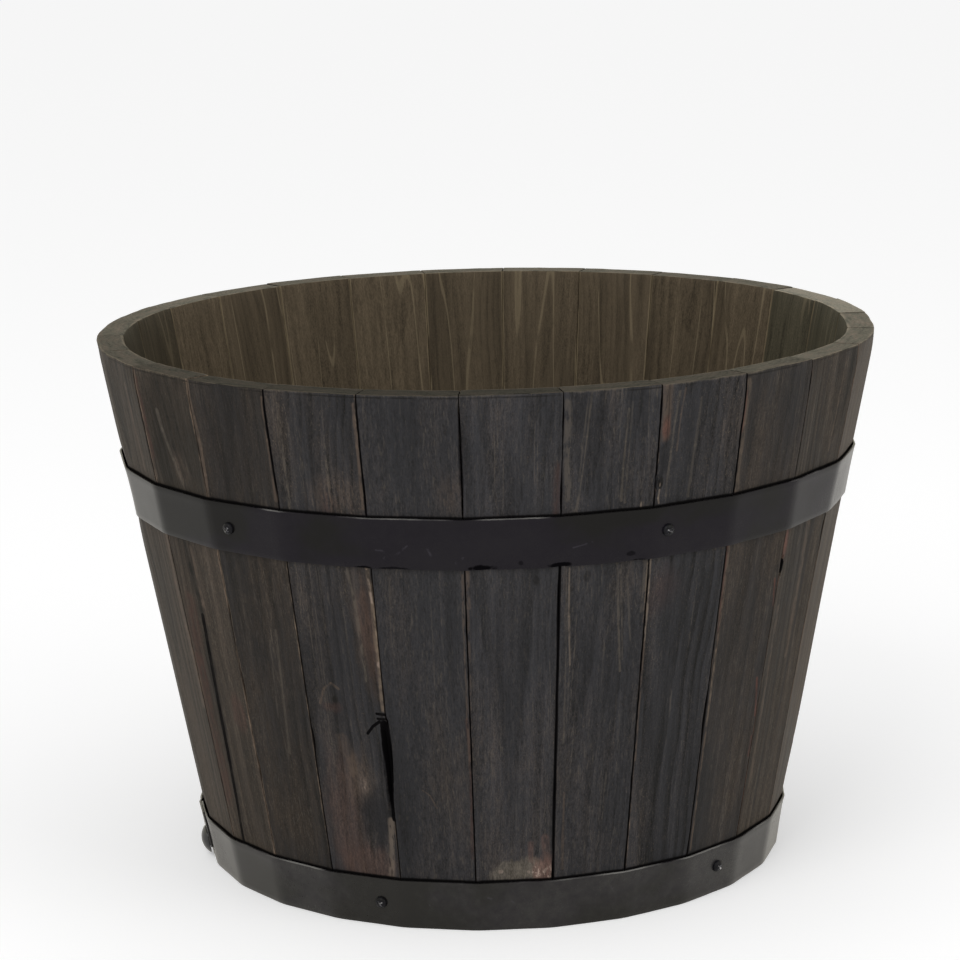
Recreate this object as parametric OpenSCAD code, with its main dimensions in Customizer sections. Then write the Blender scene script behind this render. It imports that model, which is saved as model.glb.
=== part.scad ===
// Barrel planter: a coopered half-tub of flat staves, a base of boards seated in a croze,
// and two hoops of black strip steel, each lapped, bolted and screwed to the staves.
// Millimetres. The origin is on the ground under the middle of the tub, +Z is up, the front is -Y.

/* [Tub] */
// Width across the staves' outer corners at the rim
top_d = 610; // [540:1:680]
// Width across the staves' outer corners at the ground
bottom_d = 457; // [420:1:500]
// Height of the tub
tub_h = 419; // [340:1:520]

/* [Staves] */
// Number of staves, an even number
stave_count = 26; // [22:2:30]
// Thickness of a stave
stave_t = 22; // [19:1:27]
// Gap between two neighbouring staves
stave_gap = 0.2; // [0.1:0.1:0.6]
// Width of the chamfer on a stave's two outer long edges
arris = 0.8; // [0.4:0.1:1.5]
// Width of the chamfer along both edges of the rim
rim_ease = 1; // [0.5:0.5:3]
// Angle of the first joint from the front, in degrees
joint_angle = -3.5; // [-6:0.5:6]

/* [Base boards] */
// Number of boards in the base
board_count = 5; // [4:1:7]
// Thickness of a board
board_t = 18; // [14:1:22]
// Thickness left at the bevelled rim of the base, which sits in the croze
board_rim_t = 8; // [6:0.5:10]
// Width of the bevel round the base
bevel_w = 10; // [6:1:16]
// Height of the croze, the groove in the staves, above the ground
croze_z = 32; // [30:1:60]
// Depth of the croze at the middle of a stave
croze_depth = 6; // [4:0.5:8]
// Play of the base in the croze, above it and round it
croze_play = 0.3; // [0.2:0.1:1]
// Length of the tongue along one edge of a board
tongue_l = 6; // [4:0.5:8]
// Thickness of the tongue
tongue_t = 5; // [4:0.5:6]
// Gap between two boards, and round a tongue
board_gap = 0.3; // [0.2:0.1:1]

/* [Drain holes] */
// Width of a drain hole
drain_d = 12; // [8:1:16]
// Distance of the outer drain holes from the middle, along the boards
drain_x = 130; // [120:1:140]

/* [Battens] */
// Distance between the middles of the two battens under the base
batten_spacing = 150; // [130:1:170]
// Width of a batten
batten_w = 40; // [30:1:46]
// Thickness of a batten
batten_t = 14; // [10:1:18]
// Room between a batten's ends and the staves
batten_room = 6; // [3:1:12]

/* [Hoops] */
// Width of the strip steel
hoop_w = 39; // [32:1:44]
// Thickness of the strip steel
hoop_t = 1.6; // [1:0.1:2.5]
// Room between a hoop and the staves
hoop_gap = 0.1; // [0.05:0.05:0.3]
// Distance from the rim down to the upper hoop's top edge
upper_hoop_drop = 92; // [70:1:120]
// Height of the lower hoop's bottom edge above the ground
lower_hoop_lift = 1; // [0.9:0.1:3]
// Length over which a hoop's two ends lap
lap_l = 32; // [28:1:36]
// Length of the bend that lifts the outer end over the inner one
joggle_l = 6; // [4:0.5:8]
// Angle of the upper hoop's lap from the front, in degrees
upper_lap_angle = -121; // [-124:1:-118]
// Angle of the lower hoop's lap from the front, in degrees
lower_lap_angle = -80; // [-83:1:-77]

/* [Hoop screws] */
// Number of screws in each hoop
hoop_screws = 4; // [3:1:4]
// Angle from one screw to the next, in degrees
screw_step_angle = 68.1; // [66:0.1:70]
// Angle of the upper hoop's first screw from the front, in degrees
upper_screw_angle = -41.4; // [-44:0.1:-38]
// Angle of the lower hoop's first screw from the front, in degrees
lower_screw_angle = -21.5; // [-24:0.1:-18]
// Width of a pan head
screw_head_d = 9.2; // [8:0.1:11]
// Height of a pan head
screw_head_h = 3.2; // [2.5:0.1:4]
// Width of the screw's shank
screw_d = 4.8; // [4:0.1:5.5]
// Wood left under the screw's tip
screw_cover = 4; // [3:0.5:6]
// Least distance from a screw to a joint between staves
screw_edge = 12; // [10:0.5:14]

/* [Lap bolts] */
// Width of the dome head
bolt_head_d = 22; // [18:0.5:23]
// Height of the dome head
bolt_head_h = 5.5; // [4:0.5:7]
// Width of the bolt's shank
bolt_d = 8; // [6:0.5:8]
// Height of the lower lap bolt above the ground
lower_bolt_z = 13.5; // [13:0.5:14]
// Width of the washer
washer_d = 16; // [15:0.5:18]
// Thickness of the washer
washer_t = 1.6; // [1:0.1:2]
// Width of the nut across its flats
nut_af = 13; // [12:0.5:14]
// Height of the nut
nut_h = 6.5; // [5:0.5:7]
// Length of bolt that stands out of the nut
bolt_end = 3; // [1:0.5:4]

/* [Batten screws] */
// Width of a countersunk head
batten_screw_head_d = 8; // [7:0.5:10]
// Width of the shank
batten_screw_d = 4; // [3:0.5:5]
// Length of shank in the board
batten_screw_grip = 12; // [8:0.5:13]

/* [Hidden] */
$fn = 48;
tiny = 1;                  // how far a cut runs past the face that it opens
fit = 0.05;                // room round a shank that its hole grips
bolt_room = 0.3;           // room round a shank that passes freely
rim_room = 1;              // width of rim that shows between the staves and the bevel
end_gap = 1;               // room between the hidden end of a hoop and the bend over it
lap_gap = 0.1;             // room between the two layers of a lap
screw_tip_l = 5;           // length of a hoop screw's point
tip_d = 0.4;               // width of a screw's blunt tip
head_edge = 0.8;           // height of the straight edge under a domed head
recess_l = 5;              // length of each slot of the cross recess
recess_w = 1;              // width of each slot
recess_depth = 1.8;        // depth of the recess
end_grain = 15;            // least distance from a batten screw to the batten's end

pitch = 360 / stave_count;
half = pitch / 2;
function corner_r(z) = (bottom_d + (top_d - bottom_d) * z / tub_h) / 2;
function outer_face(z) = corner_r(z) * cos(half);       // from the axis to a stave's outer face
function face_w(z) = 2 * corner_r(z) * sin(half);       // width of a stave's outer face
slope = atan((outer_face(tub_h) - outer_face(0)) / tub_h);
corner_slope = atan((corner_r(tub_h) - corner_r(0)) / tub_h);
function inner_face(z) = outer_face(z) - stave_t / cos(slope);
reach = top_d + tub_h;                                  // longer than any cut has to be

base_r = inner_face(croze_z) + croze_depth - croze_play;
base_z = croze_z - (board_t - board_rim_t) / 2;         // underside of the boards
board_w = 2 * base_r / board_count;
function board_y(i) = -base_r + (i + 0.5) * board_w;    // middle of board i

batten_z = base_z - batten_t;
batten_far_x = (batten_spacing + batten_w) / 2;
batten_half_l = sqrt(pow(inner_face(batten_z) - batten_room, 2) - pow(batten_far_x, 2));

strip_h = hoop_w * cos(slope);                          // height that a leaning strip takes up
upper_hoop_z = tub_h - upper_hoop_drop - strip_h;
hoop_face = hoop_gap + hoop_t;                          // from a stave's face to the hoop's outer face
lap_face = hoop_face + lap_gap + hoop_t;                // the same at a lap
bend_x = -lap_l / 2 - end_gap;                          // end of the bend at a lap
bolt_l = lap_face + stave_t + washer_t + nut_h + bolt_end;
upper_bolt_z = upper_hoop_z + strip_h / 2;

function wrap(n) = (n % stave_count + stave_count) % stave_count;
function pitches(angle) = (angle - joint_angle) / pitch;
function stave_at(angle) = wrap(floor(pitches(angle)));
function clamp(v, most) = min(max(v, -most), most);
// How far a screw lies from the middle of its stave, kept clear of the joints.
function shift_at(angle, z) =
    clamp((pitches(angle) - floor(pitches(angle)) - 0.5) * face_w(z), face_w(z) / 2 - screw_edge);
function cap_r(r, h) = (r * r + h * h) / (2 * h);       // sphere whose cap has that radius and height

stave_names = [for (i = [0 : stave_count - 1]) str("stave_", i < 9 ? "0" : "", i + 1)];
board_names = [for (i = [0 : board_count - 1]) str("base_board_", i + 1)];
batten_names = ["base_batten_left", "base_batten_right"];

// ---- frames and shared shapes ----

// Puts a shape on stave i's outer face: x across, z up the slope, -y outwards.
module on_stave(i) {
    rotate([0, 0, joint_angle + (i + 0.5) * pitch])
        translate([0, -outer_face(0), 0])
            rotate([slope, 0, 0])
                children();
}

// Puts a fastener on stave i: its z is the outward normal, from the stave's outer face at height z.
module fastener_on(i, shift, z) {
    on_stave(i) translate([shift, 0, z / cos(slope)]) rotate([90, 0, 0]) children();
}

// The sector between the two joint planes of stave i, less half the gap on each side.
module sector(i) {
    apex = stave_gap / 2 / sin(half);
    side = (reach - apex) * tan(half);
    rotate([0, 0, joint_angle + (i + 0.5) * pitch])
        linear_extrude(tub_h)
            polygon([[0, -apex], [side, -reach], [-side, -reach]]);
}

module domed_head(d, h) {
    ball = cap_r(d / 2, h - head_edge);
    intersection() {
        cylinder(h = h, d = d);
        translate([0, 0, h - ball]) sphere(ball);
    }
}

// ---- holes that the fasteners need ----

// Screw k of the hoop whose bottom edge is at height z sits at mid-strip.
module at_hoop_screw(k, first_angle, z) {
    angle = first_angle + k * screw_step_angle;
    mid = z + strip_h / 2;
    fastener_on(stave_at(angle), shift_at(angle, mid), mid) children();
}

module at_hoop_screws(first_angle, z) {
    for (k = [0 : hoop_screws - 1]) at_hoop_screw(k, first_angle, z) children();
}

module pilot_hole() {
    depth = stave_t - screw_cover + fit;
    translate([0, 0, -depth]) cylinder(h = depth + tiny, d = screw_d + 2 * fit);
}

module through_hole(d) {
    translate([0, 0, -stave_t - tiny]) cylinder(h = stave_t + lap_face + 2 * tiny, d = d);
}

// The pilot holes of one hoop's screws that fall in stave i.
module hoop_screw_holes(i, first_angle, z) {
    for (k = [0 : hoop_screws - 1])
        if (stave_at(first_angle + k * screw_step_angle) == i)
            at_hoop_screw(k, first_angle, z) pilot_hole();
}

module lap_bolt_hole(i, lap_angle, z) {
    if (stave_at(lap_angle) == i) fastener_on(i, 0, z) through_hole(bolt_d + 2 * bolt_room);
}

// ---- staves ----

// The V between two staves' outer edges, along joint i.
module joint_vee(i) {
    rotate([0, 0, joint_angle + i * pitch])
        translate([0, -corner_r(0), 0])
            rotate([corner_slope, 0, 0])
                rotate([0, 0, 45])
                    cube([arris * sqrt(2), arris * sqrt(2), 3 * tub_h], center = true);
}

// The chamfer that eases a rim edge of stave i, y away from the axis.
module rim_chamfer(i, y) {
    rotate([0, 0, joint_angle + (i + 0.5) * pitch])
        translate([0, -y, tub_h])
            rotate([45, 0, 0])
                cube([reach, rim_ease * sqrt(2), rim_ease * sqrt(2)], center = true);
}

module stave(i) {
    color([0.25, 0.225, 0.21])
    difference() {
        intersection() {
            on_stave(i)
                translate([-reach / 2, 0, -stave_t])
                    cube([reach, stave_t, tub_h / cos(slope) + 2 * stave_t]);
            sector(i);
        }
        joint_vee(i);
        joint_vee(i + 1);
        rim_chamfer(i, outer_face(tub_h));
        rim_chamfer(i, inner_face(tub_h));
        translate([0, 0, croze_z]) cylinder(h = board_rim_t + croze_play, r = base_r + croze_play);
        hoop_screw_holes(i, upper_screw_angle, upper_hoop_z);
        hoop_screw_holes(i, lower_screw_angle, lower_hoop_lift);
        lap_bolt_hole(i, upper_lap_angle, upper_bolt_z);
        lap_bolt_hole(i, lower_lap_angle, lower_bolt_z);
    }
}

// ---- base ----

// The whole round base, bevelled above and below to the rim that sits in the croze.
module base_blank() {
    bevel_h = (board_t - board_rim_t) / 2;
    rim_r = base_r - croze_depth - rim_room;
    translate([0, 0, base_z])
        rotate_extrude($fn = 96)
            polygon([
                [0, 0], [rim_r - bevel_w, 0], [rim_r, bevel_h], [base_r, bevel_h],
                [base_r, bevel_h + board_rim_t], [rim_r, bevel_h + board_rim_t],
                [rim_r - bevel_w, board_t], [0, board_t]]);
}

// A strip of timber along x, from y0 to y1, about the middle of the boards' thickness.
module along_boards(y0, y1, t) {
    translate([-base_r - tiny, y0, base_z + (board_t - t) / 2])
        cube([2 * (base_r + tiny), y1 - y0, t]);
}

module drain_holes(i) {
    middle = (board_count - 1) / 2;
    xs = i == middle ? [0] : [-drain_x, drain_x];
    inner = i > 0 && i < board_count - 1;
    if (inner)
        for (x = xs)
            translate([x, board_y(i), base_z - tiny]) cylinder(h = board_t + 2 * tiny, d = drain_d);
}

module base_board(i) {
    first = i == 0;
    last = i == board_count - 1;
    y0 = board_y(i) - board_w / 2 + (first ? -tiny : board_gap / 2);
    y1 = board_y(i) + board_w / 2 - (last ? -tiny : board_gap / 2);
    color([0.33, 0.28, 0.24])
    difference() {
        intersection() {
            union() {
                along_boards(y0, y1, board_t);
                if (!last) along_boards(y1 - tiny, y1 + tongue_l, tongue_t);
            }
            base_blank();
        }
        if (!first) along_boards(y0 - tiny, y0 + tongue_l, tongue_t + 2 * board_gap);
        drain_holes(i);
        batten_screw_places() batten_screw_hole();
    }
}

// ---- battens ----

module batten_screw_places() {
    for (side = [-1, 1])
        for (i = [0 : board_count - 1])
            translate([side * batten_spacing / 2, clamp(board_y(i), batten_half_l - end_grain), batten_z])
                children();
}

module batten_screw_hole() {
    head_h = (batten_screw_head_d - batten_screw_d) / 2;
    length = batten_t + batten_screw_grip;
    translate([0, 0, -tiny]) cylinder(h = length + tiny + fit, d = batten_screw_d + 2 * fit);
    cylinder(h = head_h + fit, d1 = batten_screw_head_d + 2 * fit, d2 = batten_screw_d + 2 * fit);
}

module base_batten(side) {
    color([0.33, 0.28, 0.24])
    difference() {
        translate([side * batten_spacing / 2 - batten_w / 2, -batten_half_l, batten_z])
            cube([batten_w, 2 * batten_half_l, batten_t]);
        batten_screw_places() batten_screw_hole();
    }
}

module batten_screw() {
    head_h = (batten_screw_head_d - batten_screw_d) / 2;
    length = batten_t + batten_screw_grip;
    difference() {
        union() {
            cylinder(h = head_h, d1 = batten_screw_head_d, d2 = batten_screw_d);
            cylinder(h = length - batten_screw_d, d = batten_screw_d);
            translate([0, 0, length - batten_screw_d])
                cylinder(h = batten_screw_d, d1 = batten_screw_d, d2 = tip_d);
        }
        cross_recess(recess_l * 0.8);
    }
}

module batten_screws() {
    color([0.6, 0.6, 0.6]) batten_screw_places() batten_screw();
}

// ---- hoops ----

// The taper that all the staves' outer faces bound, let out by some room.
module staved_taper(room) {
    intersection_for(i = [0 : stave_count - 1])
        on_stave(i) translate([-reach, -room, -reach]) cube(2 * reach);
}

// The outer end of a hoop at its lap, seen from above, with -y outwards:
// it leaves the strip, bends out and lies over the inner end.
module lap_plan() {
    polygon([
        [bend_x - joggle_l - tiny, -hoop_gap], [bend_x - joggle_l - tiny, -hoop_face],
        [bend_x - joggle_l, -hoop_face], [bend_x, -lap_face],
        [lap_l / 2, -lap_face], [lap_l / 2, hoop_t - lap_face],
        [bend_x, hoop_t - lap_face], [bend_x - joggle_l, -hoop_gap]]);
}

// What is left out of the plain strip, from the start of the bend to the inner end.
module lap_slot() {
    translate([bend_x - joggle_l, -hoop_face - tiny])
        square([joggle_l + end_gap, hoop_t + 2 * tiny]);
}

module hoop(z, lap_angle, bolt_z, first_angle) {
    lap_i = stave_at(lap_angle);
    color([0.16, 0.16, 0.17])
    difference() {
        intersection() {
            union() {
                difference() {
                    staved_taper(hoop_face);
                    staved_taper(hoop_gap);
                    on_stave(lap_i) linear_extrude(reach) lap_slot();
                }
                on_stave(lap_i) linear_extrude(reach) lap_plan();
            }
            translate([0, 0, z]) cylinder(h = strip_h, r = reach);
        }
        at_hoop_screws(first_angle, z) through_hole(screw_d + 2 * bolt_room);
        lap_bolt_hole(lap_i, lap_angle, bolt_z);
    }
}

module upper_hoop() {
    hoop(upper_hoop_z, upper_lap_angle, upper_bolt_z, upper_screw_angle);
}

module lower_hoop() {
    hoop(lower_hoop_lift, lower_lap_angle, lower_bolt_z, lower_screw_angle);
}

// ---- fasteners of the hoops ----

module cross_recess(l) {
    for (angle = [0, 90])
        rotate([0, 0, angle]) cube([l, recess_w, 2 * recess_depth], center = true);
}

module hoop_screw() {
    shank = hoop_face + stave_t - screw_cover;
    difference() {
        union() {
            domed_head(screw_head_d, screw_head_h);
            translate([0, 0, screw_tip_l - shank]) cylinder(h = shank - screw_tip_l + tiny, d = screw_d);
            translate([0, 0, -shank]) cylinder(h = screw_tip_l, d1 = tip_d, d2 = screw_d);
        }
        translate([0, 0, screw_head_h]) cross_recess(recess_l);
    }
}

module hoop_screws(first_angle, z) {
    color([0.2, 0.2, 0.2])
        at_hoop_screws(first_angle, z) translate([0, 0, hoop_face]) hoop_screw();
}

module lap_bolt(i, z) {
    color([0.18, 0.18, 0.18])
    fastener_on(i, 0, z) translate([0, 0, lap_face]) {
        domed_head(bolt_head_d, bolt_head_h);
        translate([0, 0, -bolt_l]) cylinder(h = bolt_l + tiny, d = bolt_d);
    }
}

module lap_washer(i, z) {
    color([0.6, 0.6, 0.6])
    fastener_on(i, 0, z) translate([0, 0, -stave_t - washer_t])
        difference() {
            cylinder(h = washer_t, d = washer_d);
            translate([0, 0, -tiny]) cylinder(h = washer_t + 2 * tiny, d = bolt_d + 2 * bolt_room);
        }
}

module lap_nut(i, z) {
    color([0.6, 0.6, 0.6])
    fastener_on(i, 0, z) translate([0, 0, -stave_t - washer_t - nut_h])
        difference() {
            cylinder(h = nut_h, d = nut_af / cos(30), $fn = 6);
            translate([0, 0, -tiny]) cylinder(h = nut_h + 2 * tiny, d = bolt_d + 2 * fit);
        }
}

// ---- the parts ----

for (i = [0 : stave_count - 1])
    stave(i);
for (i = [0 : board_count - 1])
    base_board(i);
for (i = [0, 1])
    base_batten(2 * i - 1);
batten_screws();
upper_hoop();
lower_hoop();
hoop_screws(upper_screw_angle, upper_hoop_z);  // upper_hoop_screws
hoop_screws(lower_screw_angle, lower_hoop_lift);  // lower_hoop_screws
lap_bolt(stave_at(upper_lap_angle), upper_bolt_z);  // upper_lap_bolt
lap_washer(stave_at(upper_lap_angle), upper_bolt_z);  // upper_lap_washer
lap_nut(stave_at(upper_lap_angle), upper_bolt_z);  // upper_lap_nut
lap_bolt(stave_at(lower_lap_angle), lower_bolt_z);  // lower_lap_bolt
lap_washer(stave_at(lower_lap_angle), lower_bolt_z);  // lower_lap_washer
lap_nut(stave_at(lower_lap_angle), lower_bolt_z);  // lower_lap_nut
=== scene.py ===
import math
import bpy
import bmesh
from mathutils import Matrix, Vector, noise


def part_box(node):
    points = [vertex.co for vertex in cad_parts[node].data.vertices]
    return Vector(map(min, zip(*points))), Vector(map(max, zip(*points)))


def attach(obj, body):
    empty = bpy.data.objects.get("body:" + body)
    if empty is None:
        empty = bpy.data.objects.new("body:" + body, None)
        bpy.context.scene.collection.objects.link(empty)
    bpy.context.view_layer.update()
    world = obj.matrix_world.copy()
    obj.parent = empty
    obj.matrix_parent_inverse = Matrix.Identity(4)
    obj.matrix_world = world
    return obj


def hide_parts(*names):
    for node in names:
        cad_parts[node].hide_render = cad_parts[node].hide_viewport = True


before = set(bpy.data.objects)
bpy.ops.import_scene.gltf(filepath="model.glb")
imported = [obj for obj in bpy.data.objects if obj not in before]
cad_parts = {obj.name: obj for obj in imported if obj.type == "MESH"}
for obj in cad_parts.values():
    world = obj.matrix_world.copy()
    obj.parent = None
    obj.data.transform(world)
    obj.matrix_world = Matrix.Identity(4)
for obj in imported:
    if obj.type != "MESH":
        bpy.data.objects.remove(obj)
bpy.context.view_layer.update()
scene = bpy.context.scene
print("frame loaded:", len(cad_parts), "nodes")

# the tub's cone, and where its staves stand
tub = {
    "rimWidth": 0.610,       # across the staves' outer corners, in metres
    "footWidth": 0.457,
    "height": 0.419,
    "staves": 26,
    "firstJoint": -3.5,      # degrees from the front, towards +X
    "staveThick": 0.022,
    "jointGap": 0.0002,
    "grooveLow": 0.032,      # the groove that holds the base boards
    "grooveHigh": 0.0403,
    "grooveReach": 0.216275,
    # places where it isn't round: degrees from the front and spread, height and spread, how far out or in
    "uneven": [(70, 12, 0.430, 0.130, 0.0046), (84, 9, 0.040, 0.042, -0.0018), (-84, 9, 0.300, 0.022, -0.0032)],
}
pitch = 2 * math.pi / tub["staves"]
halfPitch = pitch / 2


def cornerRadius(z):
    return (tub["footWidth"] + (tub["rimWidth"] - tub["footWidth"]) * z / tub["height"]) / 2


def outerFace(z):
    return cornerRadius(z) * math.cos(halfPitch)


def faceWidth(z):
    return 2 * cornerRadius(z) * math.sin(halfPitch)


slope = math.atan((outerFace(tub["height"]) - outerFace(0)) / tub["height"])
wallDepth = tub["staveThick"] / math.cos(slope)       # the wall's thickness, measured level
outward = Vector((0, -math.cos(slope), -math.sin(slope)))   # normal of a stave that faces the front


def turnOf(i):
    return Matrix.Rotation(math.radians(tub["firstJoint"]) + (i + 0.5) * pitch, 4, "Z")


def faceFrame(i):
    # on stave i's outer face: x across, y into the wood, z up the slope
    return turnOf(i) @ Matrix.Translation((0, -outerFace(0), 0)) @ Matrix.Rotation(slope, 4, "X")


def fastenerFrame(i, shift, z, lift=0.0):
    # z outwards, from the stave's outer face at height z
    place = Matrix.Translation((shift, -lift, z / math.cos(slope)))
    return faceFrame(i) @ place @ Matrix.Rotation(math.pi / 2, 4, "X")


def srgb(red, green, blue):
    def linear(c):
        c /= 255
        return c / 12.92 if c <= 0.04045 else ((c + 0.055) / 1.055) ** 2.4
    return (linear(red), linear(green), linear(blue), 1.0)


def wobble(*place):
    return noise.noise(Vector(place))


def settled(point):
    # moves the outer side of the wall, and the hoop on it, where the tub isn't round
    turn = math.degrees(math.atan2(point.x, -point.y))
    away = math.hypot(point.x, point.y)
    move = 0.0
    for at, spread, height, reach, amount in tub["uneven"]:
        near = math.exp(-((turn - at) / spread) ** 2 - ((point.z - height) / reach) ** 2)
        move += amount * near * (1 if amount > 0 else clamp((away - outerFace(point.z)) / wallDepth + 1) ** 2)
    return Vector((point.x * (1 + move / away), point.y * (1 + move / away), point.z))


def clamp(value, low=0.0, high=1.0):
    return min(max(value, low), high)


# shader graphs
class Wire:
    # a socket that takes part in arithmetic
    def __init__(self, graph, socket):
        self.graph, self.socket = graph, socket

    def math(self, operation, *values):
        return self.graph.add("Math", {"operation": operation}, values)

    def __add__(self, other):
        return self.math("ADD", self, other)

    def __sub__(self, other):
        return self.math("SUBTRACT", self, other)

    def __rsub__(self, other):
        return self.math("SUBTRACT", other, self)

    def __mul__(self, other):
        return self.math("MULTIPLY", self, other)

    def __truediv__(self, other):
        return self.math("DIVIDE", self, other)

    def __pow__(self, other):
        return self.math("POWER", self, other)

    __radd__ = __add__
    __rmul__ = __mul__

    def orMore(self, other):
        return self.math("MAXIMUM", self, other)

    def out(self, key):
        return Wire(self.graph, self.socket.node.outputs[key])

    def split(self):
        parts = self.graph.add("SeparateXYZ", {}, [self])
        return parts.out("X"), parts.out("Y"), parts.out("Z")


class Graph:
    def __init__(self, tree):
        self.tree = tree

    def add(self, kind, settings, inputs, output=0):
        node = self.tree.nodes.new("ShaderNode" + kind)
        for key, value in settings.items():
            setattr(node, key, value)
        for key, value in inputs.items() if isinstance(inputs, dict) else enumerate(inputs):
            if isinstance(value, Wire):
                self.tree.links.new(value.socket, node.inputs[key])
            else:
                node.inputs[key].default_value = value
        return Wire(self, node.outputs[output])

    def attribute(self, name):
        return self.add("Attribute", {"attribute_name": name}, {}, "Vector")

    def vector(self, x, y, z):
        return self.add("CombineXYZ", {}, [x, y, z])

    def stretch(self, vector, amounts):
        return self.add("VectorMath", {"operation": "MULTIPLY"}, [vector, amounts])

    def cloud(self, vector, detail=2.0, roughness=0.5):
        return self.add("TexNoise", {}, {"Vector": vector, "Scale": 1.0, "Detail": detail, "Roughness": roughness})

    def ease(self, value, low, high):
        # 0 at low, 1 at high, smooth between
        return self.add("MapRange", {"interpolation_type": "SMOOTHSTEP"}, [value, low, high, 0.0, 1.0])

    def mix(self, first, second, factor):
        return self.add("Mix", {"data_type": "RGBA"}, {0: factor, 6: first, 7: second}, 2)

    def scaled(self, colour, amount):
        fixed = colour if isinstance(colour, Wire) else colour[:3]
        return self.add("VectorMath", {"operation": "SCALE"}, {0: fixed, 3: amount})


def newMaterial(name, fixed):
    material = bpy.data.materials.new(name)
    material.use_nodes = True
    shader = material.node_tree.nodes["Principled BSDF"]
    for key, value in fixed.items():
        shader.inputs[key].default_value = value
    return material, Graph(material.node_tree), shader


def feed(graph, shader, **wires):
    for key, wire in wires.items():
        graph.tree.links.new(wire.socket, shader.inputs[key.replace("_", " ")])


def shadowed(g, shader, mask, colour):
    # cracks, joints and chips hold only shadow, which reflects nothing
    dark = g.add("BsdfPrincipled", {}, {"Base Color": colour, "Specular IOR Level": 0.0, "Roughness": 1.0})
    both = g.add("MixShader", {}, [mask, Wire(g, shader.outputs["BSDF"]), dark])
    g.tree.links.new(both.socket, g.tree.nodes["Material Output"].inputs["Surface"])


def lineMask(g, u, v, start, end, width, ragged, core=0.3):
    # 1 on the line from start to end, falling to 0 at width from it
    du, dv = end[0] - start[0], end[1] - start[1]
    length = du * du + dv * dv
    along = g.add("Math", {"operation": "MULTIPLY", "use_clamp": True},
                  [(u - start[0]) * du + (v - start[1]) * dv, 1 / length])
    offU = u - (along * du + start[0])
    offV = v - (along * dv + start[1])
    away = (offU * offU + offV * offV) ** 0.5
    return 1 - g.ease(away + ragged * width, width * core, width)


def blotMask(g, u, v, centre, size, ragged, soft=0.45):
    # 1 inside an ellipse, with an uneven edge
    offU = (u - centre[0]) / size[0]
    offV = (v - centre[1]) / size[1]
    away = (offU * offU + offV * offV) ** 0.5
    return 1 - g.ease(away + ragged, 1 - soft, 1 + soft)


def metres(*points):
    # from millimetres
    return [tuple(n / 1000 for n in point) for point in points]


def streak(colour, amount, width, broken, *path, crisp=False):
    # a stroke along a path; broken is how far the grain interrupts it, crisp gives it a hard even edge
    return {"kind": "streak", "colour": colour, "amount": amount, "width": width / 1000, "path": metres(*path),
            "broken": broken, "wave": 0.25 if crisp else 0.9, "core": 0.75 if crisp else 0.3}


def crack(*stroke):
    return streak(*stroke, crisp=True)


def patch(colour, amount, at, size, soft=0.5, specks=0.0, broken=0.3):
    at, size = metres(at, size)
    return {"kind": "patch", "colour": colour, "amount": amount, "at": at, "size": size, "soft": soft,
            "specks": specks, "broken": broken}


# stained wood
woodTones = {
    "cool": srgb(41, 41, 44),
    "warm": srgb(51, 44, 38),
    "streak": srgb(90, 83, 75),
    "worn": srgb(112, 98, 84),
    "red": srgb(90, 57, 49),
    "inner": srgb(80, 70, 56),
    # the inside's greenish tone: painted shade with a green cast of reflected light
    "shade": srgb(72, 71, 58),
    "glue": srgb(140, 126, 101),
    "endGrain": srgb(80, 77, 68),
    "endBrown": srgb(74, 67, 59),
    "endEdge": srgb(128, 118, 102),
    # near black: dark grime in the grain, and painted shade in the joints, under the rim's lip and above the hoops
    "grimeAndShade": srgb(9, 8, 8),
    "tan": srgb(90, 77, 67),
    "pink": srgb(80, 62, 55),
    "pale": srgb(128, 115, 102),
    "bare": srgb(158, 140, 128),
    "stone": srgb(88, 82, 74),
    "rose": srgb(106, 82, 74),
    "ink": srgb(29, 29, 32),
    "dim": srgb(27, 23, 19),
    "rust": srgb(70, 48, 42),
    "black": srgb(9, 8, 8),
    "wedge": srgb(22, 21, 23),
    "hollow": srgb(15, 14, 15),
}
hoopBands = ((0.0, 0.0394), (0.2884, 0.3270))      # the heights that the two hoops cover
hoopMiddle = 0.308       # the joints look different above and below this
woodLayers = ("board", "edge", "cut", "tone", "seam", "ends")      # what the wood's shader reads at each point


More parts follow.
